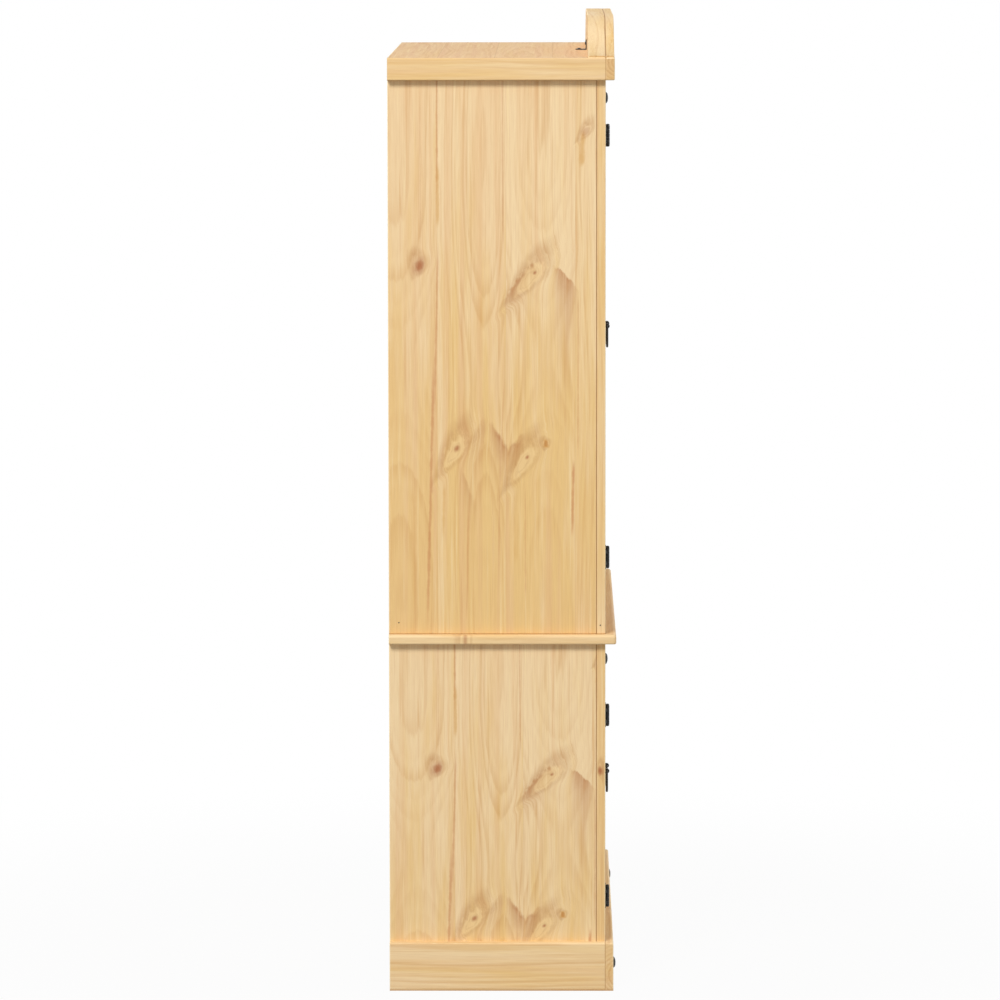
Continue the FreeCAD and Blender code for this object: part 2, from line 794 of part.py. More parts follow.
def build_cases():
    """Everything that stands still."""
    base_shelves = [base_shelf_height]
    first = hutch_board_top
    hutch_shelves = [first + hutch_shelf_spacing * count - board_thickness for count in (1, 2)]
    for side in ("left", "right"):
        save("base_side_" + side, [on_side(pin_sockets(side_board(0, base_height), base_shelves), side)])
        hutch_side = pin_sockets(side_board(worktop_top, top_board_underside), hutch_shelves)
        save("hutch_side_" + side, [on_side(hutch_side, side)])
        save("base_stile_" + side, [on_side(corner_stile(0, base_height), side)])
        save("hutch_stile_" + side, [on_side(corner_stile(worktop_top, top_board_underside), side)])
        plinth_x = (-case_half_width - plinth_thickness, -case_half_width)
        plinth = rounded_side_strip(plinth_x, (0, plinth_height), plinth_rounding, False)
        save("plinth_side_" + side, [on_side(plinth, side)])
        cornice_x = (-half_width, -case_half_width)
        cornice = rounded_side_strip(cornice_x, (cornice_bottom, hutch_top), cornice_rounding, True)
        save("cornice_side_" + side, [on_side(cornice, side)])
    save("base_bottom_board", [base_bottom_board()])
    save("base_shelf", [shelf(base_shelf_height)])
    save("base_back_panel", [back_panel(base_bottom_board_top - board_thickness, base_height)])
    save("base_top_rail", [frame_rail(base_door_top + door_gap, base_height)])
    save("plinth_front", [plinth_front()])
    save("worktop", [worktop()])
    save("hutch_bottom_board", [hutch_bottom_board()])
    save("hutch_top_board", [hutch_top_board()])
    save("hutch_back_panel", [back_panel(worktop_top, top_board_underside)])
    save("hutch_top_rail", [frame_rail(hutch_door_top + door_gap, top_board_underside)])
    save("hutch_bottom_rail", [frame_rail(worktop_top, worktop_top + hutch_bottom_rail_height)])
    save("hutch_shelf_lower", [shelf(hutch_shelves[0])])
    save("hutch_shelf_upper", [shelf(hutch_shelves[1])])
    save("cornice_front", [cornice_front()])
    save("crest_front", [crest_board(face_plane - crest_front_thickness, crest_front_thickness)])
    save("crest_back", [crest_board(face_plane, crest_back_thickness)])
    save("crest_bracket", crest_bracket())
    save("shelf_pins", shelf_pins(base_shelves + hutch_shelves))
    save("clavos", clavos())
    save("side_nails", side_nails())
    save("frame_hinge_leaves", frame_hinge_leaves())
    left_catches = [catch(base_door_top), catch(hutch_door_top)]
    save("door_catches", left_catches + [mirrored(body) for body in left_catches])


def build_door(level, side, bottom, top, pull_height, hinge_inset):
    """One door with its ring pull and its half of the hinges."""
    name = level + "_" + side + "_"
    stiles = door_stiles(bottom, top)
    rails = door_rails(bottom, top)
    if level == "upper":
        rebate = door_hole(bottom, top, rebate_width, (face_plane + glass_lip, door_back))
        glass_y = (face_plane + glass_lip, face_plane + glass_lip + glass_thickness)
        glass = door_hole(bottom, top, rebate_width - glass_clearance, glass_y)
        save(name + "glass", [on_side(glass, side)])
        save(name + "beads", [on_side(bead, side) for bead in glazing_beads(bottom, top)])
    else:
        groove_y = (face_plane + groove_from_face, face_plane + groove_from_face + groove_width)
        rebate = door_hole(bottom, top, groove_depth, groove_y)
        save(name + "panel", [on_side(raised_panel(bottom, top), side)])
    stiles = [stile.cut(rebate).cut(pull_hole(pull_height)) for stile in stiles]
    rails = [rail.cut(rebate) for rail in rails]
    fittings = pull_fittings(pull_height) + [strike(top)]
    leaves = door_hinge_leaves(hinge_centres(bottom, top, hinge_inset))
    save(name + "stiles", [on_side(stile, side) for stile in stiles])
    save(name + "rails", [on_side(rail, side) for rail in rails])
    save(name + "fittings", [on_side(solid, side) for solid in fittings])
    save(name + "hinge_leaves", [on_side(solid, side) for solid in leaves])
    save(name + "ring", [on_side(ring(pull_height), side)])


os.makedirs("parts", exist_ok=True)
build_cases()
for door_side in ("left", "right"):
    build_door("lower", door_side, base_door_bottom, base_door_top, base_pull_height, base_hinge_inset)
    build_door("upper", door_side, hutch_door_bottom, hutch_door_top, hutch_pull_height, hutch_hinge_inset)
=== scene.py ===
"""Looks of the two-piece pine display cabinet: a panelled base with a worktop, a glazed hutch with a cornice and a
raised crest, black iron hinges, ring pulls and dome-headed nails. Metres, with the doors facing -Y."""
import math
import bmesh
import bpy
from mathutils import Matrix, Vector


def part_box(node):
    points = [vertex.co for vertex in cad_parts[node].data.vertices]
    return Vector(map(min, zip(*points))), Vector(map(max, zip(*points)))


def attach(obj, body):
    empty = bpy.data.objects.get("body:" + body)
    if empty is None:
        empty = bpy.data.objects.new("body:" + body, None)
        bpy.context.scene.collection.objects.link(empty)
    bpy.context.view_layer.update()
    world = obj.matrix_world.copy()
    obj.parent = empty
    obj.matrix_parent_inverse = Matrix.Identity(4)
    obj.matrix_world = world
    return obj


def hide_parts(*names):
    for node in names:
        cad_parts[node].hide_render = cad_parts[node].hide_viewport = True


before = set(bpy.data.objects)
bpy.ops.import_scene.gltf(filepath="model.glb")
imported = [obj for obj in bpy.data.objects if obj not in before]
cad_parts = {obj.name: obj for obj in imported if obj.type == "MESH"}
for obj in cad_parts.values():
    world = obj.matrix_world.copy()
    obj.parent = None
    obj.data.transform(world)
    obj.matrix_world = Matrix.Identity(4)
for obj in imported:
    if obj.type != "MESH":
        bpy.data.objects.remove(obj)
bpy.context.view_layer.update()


# Sides of the two cases
# Each side is one panel of four pine boards glued edge to edge, with the grain upright.
# The figure shows arches, leaning oval knots and a plain tan heart between two sets of nested rings.

class Flow:
    """A value that changes over a surface. The signs of arithmetic between such values add the nodes for them."""

    def __init__(self, socket):
        self.socket, self.tree = socket, socket.id_data

    def __add__(self, other):
        return calc("ADD", self, other)

    def __sub__(self, other):
        return calc("SUBTRACT", self, other)

    def __rsub__(self, other):
        return calc("SUBTRACT", other, self)

    def __mul__(self, other):
        return calc("MULTIPLY", self, other)

    def __truediv__(self, other):
        return calc("DIVIDE", self, other)

    def __abs__(self):
        return calc("ABSOLUTE", self)

    __radd__, __rmul__ = __add__, __mul__


def plug(feed, socket):
    """Feeds a socket with a flow or a plain value."""
    if isinstance(feed, Flow):
        feed.tree.links.new(feed.socket, socket)
    elif feed is not None:
        socket.default_value = feed


def add_node(tree, kind, *feeds, **options):
    """Adds a shader node, sets its options, and feeds its sockets in order."""
    made = tree.nodes.new("ShaderNode" + kind)
    for option, value in options.items():
        setattr(made, option, value)
    for socket, feed in zip(made.inputs, feeds):
        plug(feed, socket)
    return made


def settle(node, values):
    """Sets a node's sockets by their names."""
    for label, value in values.items():
        node.inputs[label].default_value = value


def calc(operation, *feeds, kind="Math"):
    """One step of arithmetic, in the tree that its flows are in."""
    tree = next(feed.tree for feed in feeds if isinstance(feed, Flow))
    return Flow(add_node(tree, kind, *feeds, operation=operation).outputs[0])


def calc_vector(operation, *feeds):
    """One step of arithmetic on vectors."""
    return calc(operation, *feeds, kind="VectorMath")


def split(place):
    """The three numbers of a vector."""
    return [Flow(socket) for socket in add_node(place.tree, "SeparateXYZ", place).outputs]


def combine(*parts):
    """A vector from three numbers, the first of them a flow."""
    return Flow(add_node(parts[0].tree, "CombineXYZ", *parts).outputs[0])


def diagonal(one, other):
    """How far it is over two distances that are square to each other."""
    return calc("SQRT", one * one + other * other)


def most(first, *others):
    """The greatest of some numbers."""
    for other in others:
        first = calc("MAXIMUM", first, other)
    return first


def ease(value, start, end, low=0.0, high=1.0):
    """A soft step from low to high while the value goes from start to end."""
    made = add_node(value.tree, "MapRange", value, start, end, low, high, interpolation_type="SMOOTHSTEP")
    return Flow(made.outputs[0])


def blend(share, first, second, kind="RGBA"):
    """One colour or vector laid over another by a share."""
    made = add_node(share.tree, "Mix", share, data_type=kind)
    socket, result = {"VECTOR": (4, 1), "RGBA": (6, 2)}[kind]
    plug(first, made.inputs[socket])
    plug(second, made.inputs[socket + 1])
    return Flow(made.outputs[result])


def noise(place, cells, detail=2.0, roughness=0.5):
    """Cloudy noise from 0 to 1, with its cells per metre given on each axis."""
    made = add_node(place.tree, "TexNoise", calc_vector("MULTIPLY", place, cells))
    settle(made, {"Scale": 1.0, "Detail": detail, "Roughness": roughness})
    return Flow(made.outputs[0])


def paint(red, green, blue):
    """A colour read off as 0 to 255, as the linear colour a shader takes."""
    parts = [value / 255 for value in (red, green, blue)]
    return tuple(v / 12.92 if v <= 0.04045 else ((v + 0.055) / 1.055) ** 2.4 for v in parts) + (1.0,)


def open_group(name, takes, gives):
    """A new shader node group, its inputs as flows, its outputs as sockets. Takes has each input's usual value."""
    tree = bpy.data.node_groups.new(name, "ShaderNodeTree")
    for label, value in takes.items():
        kind = "Float" if isinstance(value, float) else {3: "Vector", 4: "Color"}[len(value)]
        tree.interface.new_socket(label, in_out="INPUT", socket_type="NodeSocket" + kind).default_value = value
    for label, kind in gives.items():
        tree.interface.new_socket(label, in_out="OUTPUT", socket_type="NodeSocket" + kind)
    given = {socket.name: Flow(socket) for socket in tree.nodes.new("NodeGroupInput").outputs if socket.name}
    return tree, given, tree.nodes.new("NodeGroupOutput").inputs


def use_group(tree, group, **feeds):
    """A group placed in a tree, as its outputs by name. Its inputs are named in small letters, with _ for a space."""
    made = tree.nodes.new("ShaderNodeGroup")
    made.node_tree = group
    for socket in made.inputs:
        plug(feeds.get(socket.name.lower().replace(" ", "_")), socket)
    return {socket.name: Flow(socket) for socket in made.outputs}


def make_knot_group():
    """A leaning oval knot. The grain is pushed round it, and masks for its pale eye, outline and core add up."""
    tree, given, out = open_group("Knot", {
        "Position": (0, 0, 0), "Ripple": 0.5, "Pushed": (0, 0, 0), "Centre": (0, 0, 0), "Lean": 0.0,
        "Half length": 0.04, "Half width": 0.014, "Core place": 0.4, "Core size": 0.006, "Core share": 0.9,
        "Eye share": 1.0, "Pale": 0.0, "Outline": 0.0, "Core": 0.0
    }, {"Pushed": "Vector", "Pale": "Float", "Outline": "Float", "Core": "Float"})
    ripple = given["Ripple"]
    x, _, z = split(calc_vector("SUBTRACT", given["Position"], given["Centre"]))
    sine, cosine = calc("SINE", given["Lean"]), calc("COSINE", given["Lean"])
    lengthwise = x * sine + z * cosine
    sideways = x * cosine - z * sine
    long_share = lengthwise / given["Half length"]
    short_share = sideways / (given["Half width"] * (long_share * 0.30 + 1.0))
    reach = diagonal(long_share, short_share) + (ripple * 0.9 - 0.45)
    eye = ease(reach, 1.15, 0.62) * given["Eye share"]
    upper = ease(short_share, 0.5, -0.9)
    outer_reach = reach / (upper * 0.45 + 1.0)
    rim = ease(reach, 0.70, 1.10) * ease(outer_reach, 1.70, 1.05) * (upper * 0.30 + 0.80)
    ring = ease(reach, 0.36, 0.50) * ease(reach, 0.66, 0.54)
    lines = most(rim, ring * 0.45) * (ripple * 2.0 - 0.30)
    shove = calc("EXPONENT", reach * reach * -0.5) * 0.75 * x
    core_long = (lengthwise - given["Core place"] * given["Half length"]) / (given["Core size"] * 1.5)
    core_reach = diagonal(core_long, sideways / given["Core size"]) + (ripple * 1.2 - 0.6)
    core = ease(core_reach, 1.45, 0.15) * given["Core share"]
    plug(calc_vector("SUBTRACT", given["Pushed"], combine(shove, 0.0, 0.0)), out["Pushed"])
    for label, mask in (("Pale", eye), ("Outline", lines), ("Core", core)):
        plug(most(mask, given[label]), out[label])
    return tree


def make_flame_group():
    """A darker arch in the figure, sharp along its upper edge and fading down the board."""
    tree, given, out = open_group("Flame", {
        "Position": (0, 0, 0), "Ripple": 0.5, "Apex": (0, 0, 0), "Slope": 1.2, "Start": -0.05, "End": 0.05,
        "Fade": 0.08, "Share": 1.0, "Sharpness": 0.004, "Flame": 0.0
    }, {"Flame": "Float"})
    x, _, z = split(calc_vector("SUBTRACT", given["Position"], given["Apex"]))
    arch = calc("POWER", abs(x) / 0.045, 1.45) * 0.045 * given["Slope"]
    below = given["Ripple"] * 0.030 - 0.015 - z - arch
    sharp = ease(below / given["Sharpness"], -1.0, 1.0)
    fade = calc("EXPONENT", most(below, 0.0) / given["Fade"] * -1.0)
    span = ease(x - given["Start"], -0.010, 0.014) * ease(given["End"] - x, -0.010, 0.014)
    plug(most(sharp * fade * span * given["Share"], given["Flame"]), out["Flame"])
    return tree


def make_streak_group():
    """A stray reddish or golden line that runs with the grain and slowly bends."""
    tree, given, out = open_group("Streak", {
        "Position": (0, 0, 0), "Ripple": 0.5, "Middle": (0, 0, 0), "Slope": 0.0, "Bend": 0.0, "Half length": 0.1,
        "Half width": 0.003, "Share": 1.0, "Streak": 0.0
    }, {"Streak": "Float"})
    x, _, z = split(calc_vector("SUBTRACT", given["Position"], given["Middle"]))
    aside = x - z * (z * given["Bend"] + given["Slope"])
    on_line = ease(abs(aside) / given["Half width"] + (given["Ripple"] * 1.6 - 0.8), 1.2, 0.0)
    on_length = ease(abs(z) / given["Half length"], 1.1, 0.7)
    plug(most(on_line * on_length * given["Share"], given["Streak"]), out["Streak"])
    return tree


def make_edge_group():
    """Where a board's eased edges and its sawn ends are, from its middle and half sizes."""
    tree, given, out = open_group("Board edges", {
        "Place": (0, 0, 0), "Middle": (0, 0, 0), "Half size": (1, 1, 1), "Along": (0, 0, 1), "Width": 0.0022
    }, {"Edge": "Float", "End": "Float"})
    offset = calc_vector("ABSOLUTE", calc_vector("SUBTRACT", given["Place"], given["Middle"]))
    room = calc_vector("SUBTRACT", given["Half size"], offset)
    x, y, z = split(room)
    least = calc("MINIMUM", calc("MINIMUM", x, y), z)
    second_least = x + y + z - least - most(x, y, z)
    ripple = noise(given["Place"], (70, 70, 70), 3.0)
    plug(ease(ripple * 0.0016 + (second_least - 0.0008), given["Width"], 0.0004), out["Edge"])
    to_end = add_node(tree, "VectorMath", room, given["Along"], operation="DOT_PRODUCT").outputs["Value"]
    plug(ease(Flow(to_end), 0.0007, 0.0002), out["End"])
    return tree


def make_pine_group():
    """Sawn pine: rings round a heart line in depth, broken streaks, knots, flames, stray lines, ends and edges. Its
    pale edges are partly wear and partly a painted highlight.
    """
    tree, given, out = open_group("Pine", {
        "Position": (0, 0, 0), "Seed": 0.0, "Heart across": 0.0, "Heart depth": 0.03, "Saddle": 0.0, "Lift": 0.0,
        "Ring width": 0.0062, "Line share": 0.3, "Tone": 0.0, "Gold": 0.6, "Pale": 0.0, "Outline": 0.0, "Core": 0.0,
        "Flame": 0.0, "Red": 0.0, "Amber": 0.0, "Seam": 0.0, "Edge": 0.0, "End": 0.0
    }, {"Colour": "Color", "Roughness": "Float", "Height": "Float"})
    place = calc_vector("ADD", given["Position"], calc_vector("SCALE", (0.37, 0.53, 1.71), None, None, given["Seed"]))
    x, y, z = split(given["Position"])

    # Rings round the heart line, which sways, wanders in depth and rises at the saddle
    sway = noise(place, (4, 5, 1.5), 1.5) * 0.030 - 0.015
    wander = noise(place, (1.0, 3, 1.7), 1.0) * 0.050 - 0.025
    to_saddle = (z - given["Saddle"]) / 0.24
    rise = given["Lift"] * calc("EXPONENT", to_saddle * to_saddle * -1.0)
    from_heart = diagonal(x - given["Heart across"] + sway, y + given["Heart depth"] + (rise + wander))
    streak = noise(place, (210, 110, 2.6), 4.0, 0.66)
    rings = from_heart / given["Ring width"] + (streak * 0.9 - 0.45)
    turn = calc("FRACT", rings)
    number = calc("FLOOR", rings) + given["Seed"]
    force = Flow(add_node(tree, "TexWhiteNoise", None, number, noise_dimensions="1D").outputs[0])
    late = ease(turn, 0.10, 0.84) * ease(turn, 1.0, 0.84) * (calc("POWER", force, 1.5) * 0.85 + 0.15)

    # Colours, each laid over the last by its share
    fibre = noise(place, (1000, 500, 18), 2.5, 0.6)
    band = noise(place, (48, 26, 0.9), 2.0, 0.55)
    cloud = noise(place, (32, 16, 2.2), 3.0, 0.6)
    golden = ease(given["Gold"] + (cloud * 2.4 - 1.2), 0.0, 1.0)
    colour = blend(golden, paint(247, 219, 173), paint(238, 201, 136))
    rosy = calc("MINIMUM", ease(band, 0.44, 0.70, 0.0, 0.60) + given["Tone"], 1.0)
    line = late * (1.0 - given["Pale"] * 0.8) * (given["Line share"] * (streak * 2.2 - 0.1))
    for share, *over in (
            (rosy, 234, 192, 142),
            (given["Flame"] * (streak * 1.5 + 0.15), 188, 128, 82),
            (line, 206, 150, 86),
            (given["Pale"] * 0.6, 243, 209, 152),
            (ease(streak, 0.55, 0.78, 0.0, 0.62), 216, 165, 107),
            (ease(streak, 0.46, 0.26, 0.0, 0.60), 250, 225, 175),
            (ease(fibre, 0.35, 0.75, 0.0, 0.22), 200, 150, 92),
            (given["Red"] * 0.60, 200, 132, 84),
            (given["Amber"] * 0.60, 214, 160, 82),
            (given["Outline"] * 0.42, 186, 130, 78),
            (given["Core"] * 0.85, 170, 96, 56),
            # The seam colour also darkens the joint lines that are partly painted shade.
            (given["Seam"] * 0.60, 176, 124, 74)):
        colour = blend(share, colour, paint(*over))
    colour = blend(given["End"], colour, blend(late, paint(222, 180, 122), paint(196, 148, 94)))
    # Eased edges are laid over with a pale colour that is partly wear and partly a painted highlight on the rounded
    # edges.
    edge_wear_and_highlight = given["Edge"] * (0.75 - given["Seam"] * 0.75)
    plug(blend(edge_wear_and_highlight, colour, paint(254, 234, 190)), out["Colour"])
    plug(fibre * 0.12 + 0.50 + given["End"] * 0.2 - given["Core"] * 0.12, out["Roughness"])
    plug(streak * 0.5 + (late * 0.35 + fibre * 0.35) - given["Seam"], out["Height"])
    return tree


knot_group = make_knot_group()
flame_group = make_flame_group()
streak_group = make_streak_group()
edge_group = make_edge_group()
pine_group = make_pine_group()


def new_material(name):
    """A new material, with its tree and its shader."""
    material = bpy.data.materials.new(name)
    material.use_nodes = True
    return material, material.node_tree, material.node_tree.nodes["Principled BSDF"]


def dress(shader, looks, strength, depth):
    """Feeds a shader with a group's colour, roughness and height. Strength and depth are those of the relief."""
    bump = add_node(shader.id_data, "Bump")
    settle(bump, {"Strength": strength, "Distance": depth})
    plug(looks["Colour"], shader.inputs["Base Color"])
    plug(looks["Roughness"], shader.inputs["Roughness"])
    plug(looks["Height"], bump.inputs["Height"])
    plug(Flow(bump.outputs[0]), shader.inputs["Normal"])


def place_in(tree):
    """Where a point of the surface is in the cabinet, in metres."""
    return Flow(add_node(tree, "TexCoord").outputs["Object"])


def finish(node, material):
    """Puts one material on a CAD node."""
    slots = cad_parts[node].data.materials
    slots.clear()
    slots.append(material)


def stepped(value, seams, levels):
    """A number that changes at each seam."""
    level = levels[0]
    for seam, before, after in zip(seams, levels, levels[1:]):
        level = calc("GREATER_THAN", value, seam) * (after - before) + level
    return level


def turned_place(parts, across, deep, along):
    """A place told as across, depth and along. A minus before a letter turns that axis round."""
    chosen = []
    for axis in (across, deep, along):
        part = parts["xyz".index(axis[-1])]
        chosen.append(part * -1.0 if axis[0] == "-" else part)
    return combine(*chosen)


def pine(node, across, along, seed, hearts=((0.0, 0.04),), seams=(), knots=(), flames=(), tone=0.0, start=None,
         shift=(0, 0, 0), stretch=(1, 1, 1), pair=None, caps=None, ring_width=0.0068, saddle=(0.0, 0.0),
         line_share=0.36, red=(), amber=(), gold=None, joints=(), seam_share=0.5, end_share=1.0, edge_share=1.0,
         golden=0.6):
    """Gives a board its pine. Across and along name its axes, and start is where the figure is measured from.
    Each glued strip has a heart: across, depth, seed, tone. Pair is the axis and width of two like boards in one
    node, and caps the axis and width of strips at the two ends whose grain runs the other way. Gold gives where along
    the board it is palest and yellowest, and joints the planes where it meets its neighbour: axis, level, reach. Some
    joint lines are also painted shade, under an overhang or at a foot.
    A knot is across, along, lean in degrees, half length, half width, place, size and share of its core, share of its
    eye. A flame is across, along, slope, left end, right end, fade, share, sharpness. A red or amber line is across,
    along, slope, bend, half length, half width, share."""
    low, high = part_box(node)
    middle, half = (low + high) / 2, (high - low) / 2
    deep = "xyz".replace(across[-1], "").replace(along[-1], "")
    material, tree, shader = new_material("pine_" + node)
    place = place_in(tree)
    parts = split(calc_vector("SUBTRACT", place, tuple(start or middle)))
    turned = turned_place(parts, across, deep, along)
    if caps:
        axis, front = "xyz".index(caps[0]), "xyz".index(across[-1])
        to_end = half[axis] - abs(parts[axis])
        capped = calc("LESS_THAN", to_end, caps[1])
        if len(caps) > 2:
            capped = capped * calc("LESS_THAN", to_end, parts[front] + half[front])
        turned = blend(capped, turned, turned_place(parts, along[-1], deep, across[-1]), "VECTOR")
    figure = Flow(add_node(tree, "Mapping", turned, shift, (0, 0, 0), stretch).outputs[0])
    strip, _, length = split(figure)
    heart_across, heart_depth, strip_seed, strip_tone = [
        stepped(strip, seams, [heart[index] if index < len(heart) else 0.0 for heart in hearts])
        for index in range(4)]
    lines = [ease(abs(strip - seam), 0.0011, 0.0002) * seam_share for seam in seams]
    # Joint lines darken the wood along planes; some are partly painted shade under an overhang or at a foot.
    for axis, level, *reach in joints:
        distance = abs(split(place)["xyz".index(axis)] - level)
        lines.append(ease(distance, reach[0] if reach else 0.0018, 0.0006))
    ripple = 0.5
    if knots or flames or red or amber:
        ripple = noise(calc_vector("ADD", figure, (seed, 0, 0)), (100, 20, 50), 3.0, 0.6)
    marks = {"Pushed": figure, "Pale": 0.0, "Outline": 0.0, "Core": 0.0}
    for knot_across, knot_along, lean, half_length, half_width, core_place, core_size, core_share, *eye in knots:
        marks = use_group(
            tree, knot_group, position=figure, ripple=ripple, centre=(knot_across, 0, knot_along),
            lean=math.radians(lean), half_length=half_length, half_width=half_width, core_place=core_place,
            core_size=core_size, core_share=core_share, eye_share=eye[0] if eye else 1.0,
            pushed=marks["Pushed"], pale=marks["Pale"], outline=marks["Outline"], core=marks["Core"])
    flame = 0.0
    for flame_across, flame_along, slope, left, right, fade, share, sharpness in flames:
        flame = use_group(
            tree, flame_group, position=figure, ripple=ripple, apex=(flame_across, 0, flame_along), slope=slope,
            start=left, end=right, fade=fade, share=share, sharpness=sharpness, flame=flame)["Flame"]
    stray = {"red": 0.0, "amber": 0.0}
    for colour, streaks in (("red", red), ("amber", amber)):
        for line_across, line_along, slope, bend, half_length, half_width, share in streaks:
            stray[colour] = use_group(
                tree, streak_group, position=figure, ripple=ripple, middle=(line_across, 0, line_along), slope=slope,
                bend=bend, half_length=half_length, half_width=half_width, share=share,
                streak=stray[colour])["Streak"]
    edge_place = place
    if pair:
        axis = "xyz".index(pair[0])
        pieces = split(place)
        pieces[axis] = abs(pieces[axis] - middle[axis])
        edge_place = combine(*pieces)
        middle[axis] = half[axis] - pair[1] / 2
        half[axis] = pair[1] / 2
    edges = use_group(
        tree, edge_group, place=edge_place, middle=tuple(middle), half_size=tuple(half),
        along=tuple(float(letter == along[-1]) for letter in "xyz"))
    wood = use_group(
        tree, pine_group, position=marks["Pushed"], seed=strip_seed + seed, heart_across=heart_across,
        heart_depth=heart_depth, saddle=saddle[0], lift=saddle[1], ring_width=ring_width, line_share=line_share,
        tone=strip_tone + tone, gold=ease(length, *gold) if gold else golden, flame=flame, seam=most(0.0, *lines),
        edge=edges["Edge"] * edge_share, end=0.0 if caps else edges["End"] * end_share,
        pale=marks["Pale"], outline=marks["Outline"], core=marks["Core"], **stray)
    dress(shader, wood, 0.35, 0.0004)
    settle(shader, {"Specular IOR Level": 0.22})
    finish(node, material)


side_face, case_back = -0.544, 0.21625
frame_back = ("y", -0.17875)
# The dark lines under the cornice, at the hutch's foot on the worktop and under the worktop are joint lines and partly
# painted shade where the overhangs and the worktop meet the sides.
under_cornice_joint_and_shade = ("z", 1.737)
hutch_foot_joint_and_shade = ("z", 0.685, 0.0026)
under_worktop_joint_and_shade = ("z", 0.667)
side_seams = (0.0935, 0.2235, 0.3545)
side_hearts = (
    (0.020, 0.090, 3.0, 0.15), (0.184, 0.020, 7.4, 0.0), (0.297, 0.075, 12.1, 0.0), (0.470, 0.030, 20.3, 0.0))
side_knots = (
    (0.0591, 1.3870, 20, 0.017, 0.0120, 0.0, 0.0105, 1.0, 0.0),
    (0.2680, 1.3620, 41, 0.044, 0.0140, 0.34, 0.0032, 0.9),
    (0.1255, 1.0320, 32, 0.039, 0.0135, 0.22, 0.0050, 0.9), (0.2560, 1.0110, 32, 0.041, 0.0130, 0.34, 0.0032, 0.9),
    (0.2985, 1.0490, 0, 0.0085, 0.0070, 0.0, 0.0042, 0.35),
    (0.3745, 1.6400, 40, 0.017, 0.0070, 0.0, 0.0080, 0.45, 0.0))
side_flames = (
    (0.292, 1.402, 0.90, -0.070, -0.012, 0.030, 0.85, 0.006),
    (0.3086, 1.3880, 0.85, 0.008, 0.046, 0.070, 0.85, 0.004),
    (0.187, 1.092, 1.35, -0.036, 0.000, 0.032, 0.60, 0.014), (0.187, 1.090, 1.35, 0.008, 0.042, 0.038, 1.00, 0.007),
    (0.262, 1.066, 0.95, -0.040, -0.006, 0.032, 0.85, 0.006), (0.1000, 1.055, 1.6, 0.038, 0.062, 0.035, 0.6, 0.010))
side_red = (
    (0.0932, 1.6500, 0.0008, 0.0, 0.130, 0.0024, 0.9), (0.0915, 1.2700, 0.022, 0.0, 0.150, 0.0026, 0.8),
    (0.0800, 0.9500, 0.026, 0.0, 0.250, 0.0036, 1.0), (0.0615, 1.5600, 0.0, 0.0, 0.150, 0.0012, 0.5),
    (0.2170, 1.5900, -0.004, 0.02, 0.170, 0.0018, 0.7), (0.2120, 0.9800, 0.03, 0.08, 0.200, 0.0016, 0.5),
    (0.3500, 0.9450, 0.02, 0.0, 0.070, 0.0034, 1.1),
    (0.3600, 1.1800, 0.0, 0.0, 0.160, 0.0020, 0.6), (0.2985, 1.0490, 0.0, 0.0, 0.0062, 0.0050, 1.0),
    (0.2600, 0.8600, 0.0, 0.0, 0.110, 0.0020, 0.5), (0.1500, 0.8200, 0.02, 0.0, 0.110, 0.0022, 0.5))
side_amber = (
    (0.0945, 1.5200, 0.0, 0.0, 0.060, 0.0045, 0.8), (0.3680, 1.6080, 0.05, 0.0, 0.034, 0.0065, 1.0),
    (0.2985, 1.0490, 0.0, 0.0, 0.0085, 0.0075, 1.3), (0.0480, 0.8500, 0.0, 0.0, 0.120, 0.0060, 0.4),
    (0.1760, 1.3000, 0.0, 0.0, 0.035, 0.0045, 0.4), (0.1050, 0.9200, 0.03, 0.0, 0.050, 0.0040, 0.6),
    (0.2420, 0.8900, 0.0, 0.0, 0.070, 0.0060, 0.4))
left_panel = dict(
    hearts=side_hearts, seams=side_seams, knots=side_knots, flames=side_flames, red=side_red, amber=side_amber,
    start=(side_face, case_back, 0), saddle=(1.18, 0.036), line_share=0.30, seam_share=0.15)
pine("hutch_side_left", "-y", "z", 1.0, gold=(1.72, 0.72),
     joints=(frame_back, under_cornice_joint_and_shade, hutch_foot_joint_and_shade), **left_panel)
# The base side's tone and gold range paint it paler, painted light that makes up for the lamps' weaker light low on
# the cabinet.
pine("base_side_left", "-y", "z", 1.0, shift=(-0.032, 0, 0.8751), stretch=(1, 1, 1.2), gold=(1.90, 0.10), tone=-0.2,
     joints=(frame_back, under_worktop_joint_and_shade), **left_panel)
right_hearts = ((-0.20, 0.05, 1.0, 0.1), (-0.06, 0.03, 5.0, 0.0), (0.05, 0.07, 9.0, 0.2), (0.19, 0.03, 13.0, 0.0))
right_seams = (-0.105, 0.022, 0.140)
pine("hutch_side_right", "y", "z", 31.0, right_hearts, right_seams, line_share=0.28, knots=(
    (0.075, 0.210, -24, 0.034, 0.014, 0.2, 0.0055, 0.9), (-0.052, -0.140, 18, 0.040, 0.015, 0.3, 0.0045, 0.9),
    (-0.155, 0.330, 10, 0.022, 0.013, 0.0, 0.0060, 0.9)))
pine("base_side_right", "y", "z", 36.0, right_hearts, right_seams, line_share=0.28, knots=(
    (-0.045, 0.100, 28, 0.036, 0.014, 0.3, 0.0050, 0.9), (0.090, -0.110, -14, 0.020, 0.012, 0.0, 0.0060, 0.9)))


# Front frames
# Each case has two pine corner stiles with rails between them, all with eased edges, glued over the sides' ends.
# The stiles stand with their grain upright and the rails have theirs level.

